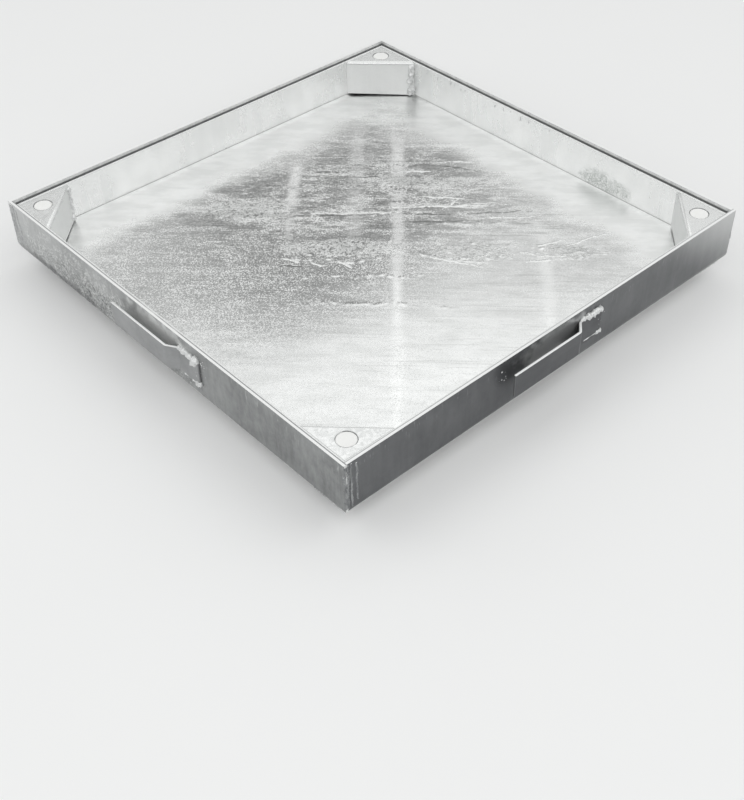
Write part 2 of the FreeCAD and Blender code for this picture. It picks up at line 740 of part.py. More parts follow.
def seal_strip(number, name):
    body = new_body("seal_strip_" + name)
    section = new_sketch(body, "section", "YZ_Plane", "-Layout.seal_out")
    valley = "-Layout.seal_in - Sizes.seal_groove"
    outline(section, [
        ("-Layout.seal_out", "Layout.flange_top"),
        (valley, "Layout.flange_top", "Layout.lobe_round", "left"),
        (valley, "(Layout.flange_top + Layout.floor_low) / 2", "Layout.lobe_round", "left"),
        (valley, "Layout.floor_low"),
        ("-Layout.seal_out", "Layout.floor_low"),
    ])
    pad(body, section, "Layout.seal_out + Layout.seal_in")
    body.Placement = quarter(number)
    return body


# The assembly

for number in range(4):
    side = SIDES[number]
    corner = CORNERS[number]
    step = "Sizes.lug_step_front" if side in ("front", "back") else "Sizes.lug_step_side"
    lug_end = "Sizes.lug_end_" + side
    lug_drop = "Sizes.lug_drop_" + side
    frame_side(number, side)
    corner_weld(number, corner)
    flange_weld(number, corner)
    anchor_lug(number, side, step, lug_end, lug_drop)
    lug_weld(number, side, lug_end, lug_drop)
    tray_wall(number, side)
    corner_pocket(number, corner)
    pocket_weld(number, corner)
    seal_strip(number, side)
clamp_nuts()
nut_welds()
clamp_screws()
seal_washers()
hole_plugs()
tray_floor()

# Check every object, then write one file for each sub-part

doc.recompute()
for item in doc.Objects:
    if "Invalid" in item.State or "Error" in item.State:
        raise RuntimeError(item.Name + " failed: " + str(item.State))
sub_parts = [item for item in doc.Objects if item.TypeId == "PartDesign::Body"]
for item in sub_parts:
    if item.Shape.isNull() or not item.Shape.isValid() or item.Shape.Volume <= 0:
        raise RuntimeError(item.Label + " has no valid shape")
os.makedirs("parts", exist_ok=True)
for item in sub_parts:
    item.Shape.exportStep("parts/%s.step" % item.Label)
    box = item.Shape.BoundBox
    print("%-28s %d solid(s) %10.1f mm3  z %.1f to %.1f"
          % (item.Label, len(item.Shape.Solids), item.Shape.Volume, box.ZMin, box.ZMax))
print(len(sub_parts), "sub-parts")
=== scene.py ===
# %% [markdown]
# # A recessed paving cover in hot-dip galvanised steel
#
# The real object is welded together from plate, flat bar and folded sheet, and then dipped
# whole in molten zinc. The frame from the CAD model already has every piece at its true size,
# so Blender's work is the skin: the zinc with its streaks and ridges, the lumpy weld beads,
# the white plugs, the rubber seal and the threads.
#
# Everything is in metres. +Z is up, and the cover stands on the lower ends of its four nuts.

# %% Load the fixed frame
import math

import bpy
import numpy as np
from mathutils import Matrix, Vector


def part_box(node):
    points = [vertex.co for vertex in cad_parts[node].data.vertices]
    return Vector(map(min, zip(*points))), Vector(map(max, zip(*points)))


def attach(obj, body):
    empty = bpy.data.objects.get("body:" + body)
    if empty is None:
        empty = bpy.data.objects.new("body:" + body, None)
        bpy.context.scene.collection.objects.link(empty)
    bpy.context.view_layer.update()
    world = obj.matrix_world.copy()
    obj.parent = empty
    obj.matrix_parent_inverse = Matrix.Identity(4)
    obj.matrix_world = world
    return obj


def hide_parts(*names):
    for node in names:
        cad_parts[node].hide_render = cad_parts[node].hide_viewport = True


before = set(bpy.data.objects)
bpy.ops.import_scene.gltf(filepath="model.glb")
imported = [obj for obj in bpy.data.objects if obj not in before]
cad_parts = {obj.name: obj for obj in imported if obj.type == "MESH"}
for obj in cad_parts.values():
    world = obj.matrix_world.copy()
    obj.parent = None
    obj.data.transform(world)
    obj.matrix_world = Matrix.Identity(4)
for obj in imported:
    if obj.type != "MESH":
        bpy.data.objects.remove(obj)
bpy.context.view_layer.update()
MM = 0.001
SIDES = ["front", "right", "back", "left"]
CORNERS = ["front_left", "front_right", "back_right", "back_left"]

# %% [markdown]
# ## Places that the frame gives
#
# Every new piece takes its place from the CAD nodes' own boxes, so nothing is fitted by eye.
# The rim, the tray's top, the floor and the inside of the walls are read once here.

# %% Read the main heights and widths
WASHER_RADIUS = 10 * MM

frame_low, frame_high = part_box("frame_front")
half, flange_z, rim_z = -frame_low.y, frame_low.z, frame_high.z
wall_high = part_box("tray_wall_front")[1]
tray_in, tray_z = -wall_high.y, wall_high.z
floor_low, floor_top = (corner.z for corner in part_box("tray_floor"))
seal_in = -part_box("seal_strip_front")[1].y
washer_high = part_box("seal_washers")[1]
screw_at = (washer_high.x + washer_high.y) / 2 - WASHER_RADIUS
print("half side %.4f, rim %.4f, floor %.4f, seal %.4f" % (half, rim_z, floor_top, seal_in))

# %% [markdown]
# ## The camera
#
# The camera stands where the photographer stood: it looks down at the corner between the front
# and left sides. Its place, the point that it looks at, its slight roll and its focal length
# in pixels come from fitting a pinhole camera to the four corners of the rim.

# %% Set the camera
PICTURE_WIDE, PICTURE_HIGH = 744, 800
FOCAL_PIXELS = 1206.41
SENSOR = 36.0
CAMERA_PLACE = Vector((-0.7853, -0.8904, 0.8705))
CAMERA_AIM = Vector((-0.2210, -0.2516, 0.088))
CAMERA_ROLL = math.radians(-1.253)


def add_object(name, data):
    """A new object around a mesh, lamp or camera, linked into the scene."""
    item = bpy.data.objects.new(name, data)
    bpy.context.scene.collection.objects.link(item)
    return item


camera_data = bpy.data.cameras.new("camera")
camera_data.sensor_width = SENSOR
camera_data.lens = FOCAL_PIXELS * SENSOR / max(PICTURE_WIDE, PICTURE_HIGH)
camera = add_object("camera", camera_data)
look = (CAMERA_AIM - CAMERA_PLACE).to_track_quat("-Z", "Y").to_matrix().to_4x4()
camera.matrix_world = Matrix.Translation(CAMERA_PLACE) @ look @ Matrix.Rotation(CAMERA_ROLL, 4, "Z")
bpy.context.scene.camera = camera
bpy.context.scene.view_settings.view_transform = "Standard"
print("lens %.2f mm, right axis %s" % (camera_data.lens, camera.matrix_world.col[0].xyz))

# %% [markdown]
# ## The floor under the cover
#
# A large pale square under the nuts. It fills the picture, takes the soft shadow, and the
# upright faces of the frame mirror it.

# %% Lay the studio floor
FLOOR_SIDE = 30.0
FLOOR_LEVEL = -0.1 * MM  # a hair below z = 0, so that no face shares its plane

corner = FLOOR_SIDE / 2
mesh = bpy.data.meshes.new("studio_floor")
mesh.from_pydata([(x * corner, y * corner, FLOOR_LEVEL) for x, y in ((-1, -1), (1, -1), (1, 1), (-1, 1))],
                 [], [(0, 1, 2, 3)])
studio_floor = add_object("studio_floor", mesh)
print("floor:", studio_floor.name, FLOOR_SIDE, "m")

# %% [markdown]
# ## Soft lamps
#
# Bright metal shows whatever stands around it, so the lamps are planned as reflections. The
# tray's floor is a mirror that lies flat: its far part shows what stands 28 degrees above the
# horizon behind it, and its near part what stands 44 degrees above. The faint tubes run away
# from the camera in that part of the room and draw the light bands on the floor. The tray's
# walls show the floor, and in it the two soft boxes to the left and right. A third box behind
# the camera lights the far pocket. A weak panel overhead softens the shadows.
#
# A lamp's glow is the brightness that a mirror shows. Its watts are that times pi and area.

# %% Hang the lamps
PANEL_HIGH = 2.4
TUBES_UNDER_PANEL = 0.02
AWAY = Vector((0.6834, 0.7301, 0))
ACROSS = Vector((0.7301, -0.6834, 0))
DOWN = Matrix((ACROSS, AWAY, (0, 0, 1))).transposed().to_4x4()

# Name, heading in degrees, distance away, height, (width, height of the box), glow
BOXES = [("box_right", -57, 3.0, 2.0, (3.4, 2.0), 0.62),
         ("box_left", 147, 3.0, 2.0, (3.4, 2.0), 0.62),
         ("box_camera", -134, 3.0, 2.1, (3.8, 2.3), 0.60)]
# Name, metres across and along the view from the camera, (width, length), glow, shape
TUBES = [("tube_left", -0.20, 5.2, (0.07, 1.2), 0.25, "RECTANGLE"),
         ("tube_short", -0.50, 5.4, (0.055, 1.7), 0.50, "ELLIPSE"),
         ("tube_middle", 0.0, 5.2, (0.06, 2.5), 0.40, "ELLIPSE"),
         ("tube_near", 0.0, 3.75, (0.05, 1.3), 0.12, "ELLIPSE"),
         ("tube_right", 0.65, 4.6, (0.05, 4.0), 0.18, "RECTANGLE")]


def area_lamp(name, place, turn, size, glow, shape="RECTANGLE"):
    """A flat lamp at a place, turned by a matrix; it shines along that matrix's -Z."""
    data = bpy.data.lights.new(name, "AREA")
    data.shape = shape
    data.size, data.size_y = size
    data.energy = glow * math.pi * size[0] * size[1]
    add_object(name, data).matrix_world = Matrix.Translation(place) @ turn


area_lamp("soft_panel", Vector((0, 0, PANEL_HIGH)), DOWN, (2.2, 2.2), 0.10)
for name, heading, away, high, size, glow in BOXES:
    heading = math.radians(heading)
    place = Vector((away * math.cos(heading), away * math.sin(heading), high))
    area_lamp(name, place, (-place).to_track_quat("-Z", "Y").to_matrix().to_4x4(), size, glow)
above_camera = Vector((CAMERA_PLACE.x, CAMERA_PLACE.y, PANEL_HIGH - TUBES_UNDER_PANEL))
for name, aside, along, size, glow, shape in TUBES:
    area_lamp(name, above_camera + ACROSS * aside + AWAY * along, DOWN, size, glow, shape)

# %% [markdown]
# ## Shader tools
#
# A material is a small graph of nodes. These helpers only save typing. Most of them add one
# node, link or set its inputs and hand back its output. They find the node tree from the
# sockets that they are given. The last ones make a group, place it and make a new material.

# %% Helpers for node trees


def add_node(tree, kind, **settings):
    """A new node with its settings given by name."""
    node = tree.nodes.new(kind)
    for key, entry in settings.items():
        setattr(node, key, entry)
    return node


def feed(sockets, entries):
    """Each input gets its entry: an output socket is linked, a number or triple is set, None is left."""
    for socket, entry in zip(sockets, entries):
        if isinstance(entry, bpy.types.NodeSocket):
            socket.id_data.links.new(entry, socket)
        elif entry is not None:
            socket.default_value = entry


def give(node, **entries):
    """A node's inputs by name, with _ for a space: each is linked or set."""
    feed([node.inputs[key.replace("_", " ")] for key in entries], entries.values())


def tree_of(*entries):
    """The node tree of the first socket among some sockets and numbers."""
    return next(entry.id_data for entry in entries if isinstance(entry, bpy.types.NodeSocket))


def math_node(operation, first, second=None, clamp=False):
    """The result of one Math node; each side is a socket or a number."""
    node = add_node(tree_of(first, second), "ShaderNodeMath", operation=operation, use_clamp=clamp)
    feed(node.inputs, (first, second))
    return node.outputs[0]


def product(first, second):
    """Two values multiplied."""
    return math_node("MULTIPLY", first, second)


def add_parts(total, parts):
    """A total plus each (output, share) of the parts, multiplied by its share."""
    for output, share in parts:
        total = math_node("ADD", total, product(output, share))
    return total


def vector_node(operation, first, second=None):
    """The result of one Vector Math node; each side is a socket or a triple."""
    node = add_node(tree_of(first), "ShaderNodeVectorMath", operation=operation)
    feed(node.inputs, (first, second))
    return node.outputs["Value" if operation in ("DOT_PRODUCT", "LENGTH") else "Vector"]


def part_of(vector, axis):
    """One coordinate of a vector: X, Y or Z."""
    node = add_node(tree_of(vector), "ShaderNodeSeparateXYZ")
    give(node, Vector=vector)
    return node.outputs[axis]


def turn_places(places, angle):
    """Places turned about Z by an angle that is a socket or a number."""
    node = add_node(tree_of(places), "ShaderNodeVectorRotate", rotation_type="Z_AXIS")
    give(node, Vector=places, Angle=angle)
    return node.outputs[0]


def noise(places, scale, output="Fac", **values):
    """The value or colour of a Noise texture; its scale is a number or a socket."""
    node = add_node(tree_of(places), "ShaderNodeTexNoise")
    give(node, Vector=places, Scale=scale, **values)
    return node.outputs[output]


def scaled(vector, factor):
    """A vector times a number or a socket."""
    node = add_node(tree_of(vector), "ShaderNodeVectorMath", operation="SCALE")
    feed((node.inputs[0], node.inputs["Scale"]), (vector, factor))
    return node.outputs[0]


def fade(value, start, end, low=0.0, high=1.0):
    """A smooth change from low to high while the value goes from start to end."""
    node = add_node(tree_of(value), "ShaderNodeMapRange", interpolation_type="SMOOTHSTEP")
    give(node, Value=value, From_Min=start, From_Max=end, To_Min=low, To_Max=high)
    return node.outputs["Result"]


def blend_colours(factor, first, second):
    """A colour between two, each a socket or a plain RGB triple."""
    node = add_node(tree_of(factor), "ShaderNodeMix", data_type="RGBA")
    give(node, Factor=factor)
    colours = [item for item in node.inputs if item.type == "RGBA"]
    feed(colours, [entry + (1,) if isinstance(entry, tuple) else entry for entry in (first, second)])
    return [item for item in node.outputs if item.type == "RGBA"][0]


def blend_values(factor, first, second):
    """A number between two, each a socket or a number."""
    node = add_node(tree_of(factor), "ShaderNodeMix")
    give(node, Factor=factor, A=first, B=second)
    return node.outputs["Result"]


def bumps(shader, height, depth):
    """A height, in units of the given depth, becomes the shader's normal."""
    bump = add_node(tree_of(height), "ShaderNodeBump")
    give(bump, Height=height, Strength=1.0, Distance=depth)
    give(shader, Normal=bump.outputs["Normal"])


def new_group(name, inputs, outputs):
    """An empty shader node group; inputs are (name, kind, value) and outputs (name, kind)."""
    group = bpy.data.node_groups.new(name, "ShaderNodeTree")
    for label, kind, value in inputs:
        socket = group.interface.new_socket(label, in_out="INPUT", socket_type="NodeSocket" + kind)
        if value is not None:
            socket.default_value = value
    for label, kind in outputs:
        group.interface.new_socket(label, in_out="OUTPUT", socket_type="NodeSocket" + kind)
    return group, group.nodes.new("NodeGroupInput").outputs, group.nodes.new("NodeGroupOutput").inputs


def use_group(group, places, **values):
    """One group placed in a material, with its Place linked and its other inputs linked or set."""
    node = add_node(tree_of(places), "ShaderNodeGroup")
    node.node_tree = group
    give(node, Place=places, **values)
    return node.outputs


def object_places(tree):
    """Places measured from the object's own origin."""
    return tree.nodes.new("ShaderNodeTexCoord").outputs["Object"]


def new_material(name):
    """A material with an empty Principled shader and Object coordinates to draw patterns on."""
    material = bpy.data.materials.new(name)
    material.use_nodes = True
    tree = material.node_tree
    return material, tree, tree.nodes["Principled BSDF"], object_places(tree)


print("shader helpers ready")

# %% [markdown]
# ## The sky and the floor's colour
#
# The world is a grey room with a bright ceiling. The tray's floor mirrors it, so each level of
# the room is a part of the floor: half bright up to 28 degrees, dark up to 36, then bright.
# The room's right side is lighter than its left. Nothing in it is so bright that the zinc
# would turn plain white, also when the tray is seen from behind or from above.

# %% Colour the world and the floor
ROOM_LOW, ROOM_MIDDLE, ROOM_HIGH = 0.62, 0.34, 1.05
ROOM_RIGHT, ROOM_LEFT = 0.36, 0.18
ROOM_MOST, ROOM_TOP = 0.76, 0.82
FLOOR_PAINT, DUST = 0.92, 0.02

# Where the room changes: each pair is the start and end of a fade, as the sine of a height
# above the horizon, or of a heading to the right of the view.
LOW_PART = (0.475, 0.535)
CEILING, UNDER_CEILING = (0.59, 0.69), (0.63, 0.70)
MOST, TOP = (0.57, 0.68), (0.76, 0.94)
RIGHT_PART, RIGHT_SLANT, LEFT_PART = (0.83, 0.97), 1.5, (-0.22, -0.10)
FRONT_PART = (0.05, 0.40)

world = bpy.data.worlds.new("studio")
bpy.context.scene.world = world
world.use_nodes = True
tree = world.node_tree
direction = tree.nodes.new("ShaderNodeTexCoord").outputs["Generated"]
upward = part_of(direction, "Z")
aside = vector_node("DOT_PRODUCT", direction, tuple(ACROSS))
ahead = fade(vector_node("DOT_PRODUCT", direction, tuple(AWAY)), *FRONT_PART)
slanted = math_node("ADD", aside, product(upward, RIGHT_SLANT))
room = fade(upward, *CEILING, ROOM_MIDDLE, ROOM_HIGH)
below_ceiling = fade(upward, *UNDER_CEILING, 1.0, 0.0)
for mask in (fade(upward, *LOW_PART, ROOM_LOW - ROOM_MIDDLE, 0.0),
             product(fade(slanted, *RIGHT_PART, 0.0, ROOM_RIGHT), below_ceiling),
             product(fade(aside, *LEFT_PART, ROOM_LEFT, 0.0), below_ceiling)):
    room = math_node("ADD", room, product(mask, ahead))
room = math_node("MINIMUM", room, fade(upward, *MOST, ROOM_MOST, ROOM_HIGH))
room = math_node("MINIMUM", room, fade(upward, *TOP, ROOM_HIGH, ROOM_TOP))
give(tree.nodes["Background"], Strength=room, Color=(0.99, 1.0, 0.995, 1))

floor_material, tree, shader, places = new_material("studio_floor")
dust = noise(places, 3.0, Detail=3.0)
shade = blend_colours(dust, (FLOOR_PAINT,) * 3, (FLOOR_PAINT - DUST,) * 3)
give(shader, Base_Color=shade, Roughness=0.9, Specular_IOR_Level=0.1)
studio_floor.data.materials.append(floor_material)
print("room", (ROOM_LOW, ROOM_MIDDLE, ROOM_HIGH), "floor", FLOOR_PAINT)

# %% [markdown]
# ## Zinc patterns that every steel piece shares
#
# Zinc from a dip bath has four patterns on top of each other. Fine grains of a millimetre or
# two make it sparkle. Crystals a few millimetres wide have slightly different greys. The zinc
# runs off as the piece is pulled out, which leaves long streaks. And dull clouds form where
# it cooled more slowly. Each pattern is one group, and each material gives it its own size.

# %% Group: fine grain
FINER, COARSE_SHARE = 2.3, 0.7


def grain_group():
    """Two noises, the second finer, added and sharpened about their middle value."""
    group, given, result = new_group(
        "zinc_grain",
        [("Place", "Vector", None), ("Fineness", "Float", 400.0), ("Sharpness", "Float", 1.6)],
        [("Grain", "Float")])
    coarse = noise(given["Place"], given["Fineness"], Detail=1.5, Roughness=0.6)
    fine = noise(given["Place"], product(given["Fineness"], FINER), Detail=1.0)
    both = add_parts(product(coarse, COARSE_SHARE), [(fine, 1 - COARSE_SHARE)])
    sharp = product(math_node("SUBTRACT", both, 0.5), given["Sharpness"])
    group.links.new(math_node("ADD", sharp, 0.5, clamp=True), result["Grain"])
    return group


zinc_grain = grain_group()
print("group:", zinc_grain.name)

# %% Group: crystals
CRYSTAL_RIM = (0.2, 0.7)


def crystal_group():
    """Cells of a Voronoi pattern, bent by noise, each with its own random grey."""
    group, given, result = new_group(
        "zinc_crystals",
        [("Place", "Vector", None), ("Fineness", "Float", 260.0), ("Bend", "Float", 0.004)],
        [("Crystal", "Float"), ("Border", "Float")])
    offset = scaled(noise(given["Place"], 160.0, "Color", Detail=2.0), given["Bend"])
    bent = vector_node("ADD", given["Place"], offset)
    cells = add_node(group, "ShaderNodeTexVoronoi")
    give(cells, Vector=bent, Scale=given["Fineness"])
    grey = add_node(group, "ShaderNodeSeparateColor")
    give(grey, Color=cells.outputs["Color"])
    group.links.new(grey.outputs[0], result["Crystal"])
    group.links.new(fade(cells.outputs["Distance"], *CRYSTAL_RIM), result["Border"])
    return group


zinc_crystals = crystal_group()
print("group:", zinc_crystals.name)

# %% Group: streaks
WASH_COARSER = 0.22


def streak_group():
    """Noise on places that are turned about Z and pressed together, so that it draws out into lines.
    Wash is a coarser noise on the same places."""
    group, given, result = new_group(
        "zinc_streaks",
        [("Place", "Vector", None), ("Turn", "Float", 0.0), ("Pull", "Vector", (0.1, 1.0, 1.0)),
         ("Fineness", "Float", 200.0), ("Low", "Float", 0.35), ("High", "Float", 0.65)],
        [("Streak", "Float"), ("Wash", "Float")])
    turned = turn_places(given["Place"], given["Turn"])
    pulled = vector_node("MULTIPLY", turned, given["Pull"])
    lines = noise(pulled, given["Fineness"], Detail=3.0, Roughness=0.6)
    wash = noise(pulled, product(given["Fineness"], WASH_COARSER), Detail=2.0)
    for source, label in ((lines, "Streak"), (wash, "Wash")):
        group.links.new(fade(source, given["Low"], given["High"]), result[label])
    return group


zinc_streaks = streak_group()
print("group:", zinc_streaks.name)

# %% Group: clouds and upward faces
CLOUD_EDGE, FACES_UP = (0.32, 0.68), (0.35, 0.8)


def cloud_group():
    """Clouds is slow noise made firmer; Wiped is 1 where the surface faces up and 0 where it doesn't."""
    group, given, result = new_group(
        "zinc_clouds",
        [("Place", "Vector", None), ("Fineness", "Float", 14.0)],
        [("Cloud", "Float"), ("Facing_Up", "Float")])
    slow = noise(given["Place"], given["Fineness"], Detail=4.0, Roughness=0.6)
    group.links.new(fade(slow, *CLOUD_EDGE), result["Cloud"])
    normal = group.nodes.new("ShaderNodeNewGeometry").outputs["Normal"]
    group.links.new(fade(part_of(normal, "Z"), *FACES_UP), result["Facing_Up"])
    return group


zinc_clouds = cloud_group()
print("group:", zinc_clouds.name)

# %% [markdown]
# ## One recipe for all the zinc
#
# The real surface is one metal, so one function makes all its materials. It mixes the four
# patterns into a tone between a dull and a pale grey, and into a height for the Bump node.
# What changes from piece to piece is how strong each pattern is, how rough the metal is, and
# how dark its colour is: the outer walls of the frame are rougher than the tray and far darker,
# and that darkness is painted shade. Upward faces are painted paler, which is painted light.

# %% The zinc recipe
PALE_ZINC, DULL_ZINC = (0.87, 0.88, 0.875), (0.60, 0.61, 0.605)
# Painted light: the inner face of each frame wall is paler than its outer face
INNER_PALE, INNER_DULL = (0.93, 0.935, 0.93), (0.62, 0.63, 0.625)
# Painted light: the pale colour that upward faces are given
PAINTED_TOP_ZINC = (0.94, 0.945, 0.94)
# Painted shade: the dark of the gap between frame and tray, of the line along the rims' inner edge and of the
# ring round each plug
SLOT_SHADE = (0.16, 0.165, 0.17)
TOP_FACE_METAL, INNER_TOP_METAL = 0.3, 0.7
RUNS_FROM, RUNS_TO, RUNS_FINENESS = 60 * MM, 84 * MM, 330.0
# How dark the painted shade in the gap beside the tray's top edge gets
GAP_DARK = 0.75
# Depths from the unit's middle: the outer skin of a wall, and the strip of its rim that takes a painted
# shadow line
OUTER_SKIN = (half - 1.2 * MM, half - 0.4 * MM)
RIM_STRIP = (half - 3.1 * MM, half - 2.5 * MM)
# Heights of the painted shade in the gap beside the tray's top edge
GAP_STARTS = (tray_z - 5 * MM, tray_z - 3 * MM)
GAP_ENDS = (tray_z + 0.7 * MM, tray_z + 1.8 * MM)
UPRIGHT = (1.0, 1.0, 0.12)
DIAGONAL = math.radians(45)


def zinc(name, pale=PALE_ZINC, dull=DULL_ZINC, rough=(0.14, 0.30), metal=1.0, grain=(400.0, 0.3, 0.12),
         crystals=(260.0, 0.0, 0.0), streaks=(200.0, 0.3, 0.05), pull=(0.1, 1.0, 1.0),
         clouds=(14.0, 0.4), flat_crystals=False, lighter=(), outer=None, painted_top_light=0.0, runs=0.0, slot=0.0):
    """Zinc with patterns given as (fineness per metre, share of the tone, height in mm).

    The tone goes from dull to pale. Each of lighter is (direction, start, end, amount): painted
    light, the colour nears that of pale zinc while the place goes from start to end along it. runs
    is how pale the short upright runs below the rim are. outer is the outward direction of a wall
    whose inner face is painted paler, painted light; inside, its part beside the tray's top edge is
    painted shade. painted_top_light is how pale the upward faces are painted, which is painted light,
    and slot how dark the painted shadow line along the rim's inner edge is.
    """
    material, tree, shader, places = new_material(name)
    grains = use_group(zinc_grain, places, Fineness=grain[0])
    cells = use_group(zinc_crystals, places, Fineness=crystals[0])
    lines = use_group(zinc_streaks, places, Fineness=streaks[0], Pull=pull)
    cloud = use_group(zinc_clouds, places, Fineness=clouds[0])
    high = part_of(places, "Z")

    crystal = product(cells["Crystal"], cloud["Facing_Up"]) if flat_crystals else cells["Crystal"]
    shares = [(grains["Grain"], grain[1]), (crystal, crystals[1]), (lines["Streak"], streaks[1])]
    plain = 1.0 - grain[1] - crystals[1] - streaks[1] - clouds[1]
    tone = add_parts(product(cloud["Cloud"], clouds[1]), shares)
    tone = math_node("ADD", tone, plain * 0.5, clamp=True)
    colour = blend_colours(tone, dull, pale)
    # Painted light: the colour grows paler towards an end or corner
    for along, start, end, amount in lighter:
        near = vector_node("DOT_PRODUCT", places, along)
        colour = blend_colours(fade(near, start, end, 0, amount), colour, PALE_ZINC)
    if runs:
        marks = use_group(zinc_streaks, places, Fineness=RUNS_FINENESS, Pull=(1.0, 1.0, 0.14),
                          Low=0.60, High=0.68)
        under_rim = fade(high, RUNS_FROM, RUNS_TO, 0.0, runs)
        colour = blend_colours(product(marks["Streak"], under_rim), colour, PALE_ZINC)
    # Painted light: a frame wall's inner face takes paler colours, and painted shade darkens it beside the
    # tray's top edge
    if outer:
        depth = vector_node("DOT_PRODUCT", places, outer)
        inward = fade(depth, *OUTER_SKIN, 1.0, 0.0)
        colour = blend_colours(inward, colour, blend_colours(tone, INNER_DULL, INNER_PALE))
        gap = product(fade(high, *GAP_STARTS), fade(high, *GAP_ENDS, GAP_DARK, 0.0))
        colour = blend_colours(product(inward, gap), colour, SLOT_SHADE)
    give(shader, Metallic=metal)
    # Painted light: upward faces are painted paler and made less metallic; a wall's inner face is made less
    # metallic too
    if painted_top_light:
        flat = product(cloud["Facing_Up"], painted_top_light)
        colour = blend_colours(flat, colour, PAINTED_TOP_ZINC)
        # Painted shade: a dark line along the rim's inner edge
        if slot:
            edge = fade(depth, *RIM_STRIP, slot, 0.0)
            colour = blend_colours(product(edge, cloud["Facing_Up"]), colour, SLOT_SHADE)
        if outer:
            flat = math_node("MAXIMUM", flat, product(inward, INNER_TOP_METAL))
        give(shader, Metallic=fade(flat, 0, 1, metal, TOP_FACE_METAL))
    give(shader, Base_Color=colour, Roughness=fade(tone, 0, 1, rough[1], rough[0]))
    rises = [(cells["Border"], crystals[2]), (lines["Streak"], streaks[2])]
    height = add_parts(product(grains["Grain"], grain[2]), [part for part in rises if part[1]])
    bumps(shader, height, MM)
    return material


# The walls' upward faces are painted paler, which is painted light
WALLS = dict(pale=(0.965, 0.97, 0.965), dull=(0.84, 0.85, 0.845), rough=(0.2, 0.34), metal=0.85,
             grain=(300.0, 0.1, 0.006), streaks=(90.0, 0.15, 0.004), pull=UPRIGHT, clouds=(9.0, 0.3),
             painted_top_light=0.8)
zinc_tray = zinc("zinc_tray_walls", **WALLS)
zinc_pocket = zinc("zinc_pockets", pale=(0.97, 0.975, 0.97), dull=(0.80, 0.81, 0.805), rough=(0.06, 0.42),
                   metal=0.85, grain=(500.0, 0.25, 0.012), crystals=(330.0, 0.45, 0.012),
                   streaks=(160.0, 0.06, 0.01), pull=UPRIGHT, clouds=(20.0, 0.15), flat_crystals=True)
zinc_stained = zinc("zinc_stained_wall", **WALLS)
print("zinc materials for the tray ready")

# %% [markdown]
# ## Dross: curled patches and torn strokes
#
# Dross is the ash and oxide that floats on molten zinc. Where the tray caught some, its floor
# has ragged ovals full of curled ridges, and torn strokes no wider than two millimetres. Noise
# alone would put them anywhere. So each one has a place of its own, and noise only tears its
# edge. One group makes a patch and one makes a stroke.

# %% Groups: a dross patch and a torn stroke
PATCH_TORN, PATCH_EDGE = 1.2, (1.0, 1.5)
STROKE_TORN, STROKE_EDGE = 2.4, (1.6, 2.2)
STROKE_LONGER, STROKE_WIDE = 1.25, 2.0 * MM


def oval(places, middle, size):
    """The distance from an oval's middle, where 1 is its edge; None leaves the middle at the origin."""
    shifted = vector_node("SUBTRACT", places, middle) if middle is not None else places
    return vector_node("LENGTH", vector_node("DIVIDE", shifted, size))


def patch_group():
    """A soft oval torn at its edge by noise, times crests where a second noise crosses its middle value."""
    group, given, result = new_group(
        "zinc_patch",
        [("Place", "Vector", None), ("Turn", "Float", 0.0), ("Middle", "Vector", (0.0, 0.0, 0.0)),
         ("Size", "Vector", (0.1, 0.03, 1.0)), ("Fineness", "Float", 120.0), ("Crest", "Float", 0.11)],
        [("Patch", "Float"), ("Inside", "Float")])
    turned = turn_places(given["Place"], given["Turn"])
    away = oval(turned, given["Middle"], given["Size"])
    ragged = add_parts(away, [(noise(turned, 70.0, Detail=3.0), PATCH_TORN)])
    inside = fade(ragged, *PATCH_EDGE, 1.0, 0.0)
    curls = noise(turned, given["Fineness"], Detail=2.0, Distortion=1.6)
    from_middle = math_node("ABSOLUTE", math_node("SUBTRACT", curls, 0.5))
    from_crest = math_node("DIVIDE", from_middle, given["Crest"])
    crest = math_node("SUBTRACT", 1.0, from_crest, clamp=True)
    group.links.new(product(inside, fade(crest, 0.0, 1.0)), result["Patch"])
    group.links.new(inside, result["Inside"])
    return group


zinc_patch = patch_group()


def stroke_group():
    """1 inside a thin oval that is turned about Z and torn by a noise handed in, and 0 outside it."""
    group, given, result = new_group(
        "zinc_stroke",
        [("Place", "Vector", None), ("Middle", "Vector", (0.0, 0.0, 0.0)), ("Turn", "Float", 0.0),
         ("Size", "Vector", (0.02, 0.001, 1.0)), ("Torn", "Float", 0.5)],
        [("Stroke", "Float")])
    shifted = vector_node("SUBTRACT", given["Place"], given["Middle"])
    away = oval(turn_places(shifted, given["Turn"]), None, given["Size"])
    ragged = add_parts(away, [(given["Torn"], STROKE_TORN)])
    group.links.new(fade(ragged, *STROKE_EDGE, 1.0, 0.0), result["Stroke"])
    return group


zinc_stroke = stroke_group()


def highest_of(masks):
    """The highest of several masks."""
    highest = masks[0]
    for mask in masks[1:]:
        highest = math_node("MAXIMUM", highest, mask)
    return highest


def dross_patches(places, output):
    """The highest of the patches on the floor."""
    return highest_of([
        use_group(zinc_patch, places, Turn=DIAGONAL, Middle=middle + (0,), Size=size + (1,))[output]
        for middle, size in PATCHES])


def dross_strokes(turned, torn, strokes):
    """The highest of thin strokes, each (along, across, half its length, degrees), in mm."""
    return highest_of([
        use_group(zinc_stroke, turned, Middle=(along * MM, across * MM, floor_top), Torn=torn,
                  Turn=-math.radians(degrees), Size=(STROKE_LONGER * reach * MM, STROKE_WIDE, 1.0))["Stroke"]
        for along, across, reach, degrees in strokes])


print("groups:", zinc_patch.name, zinc_stroke.name)

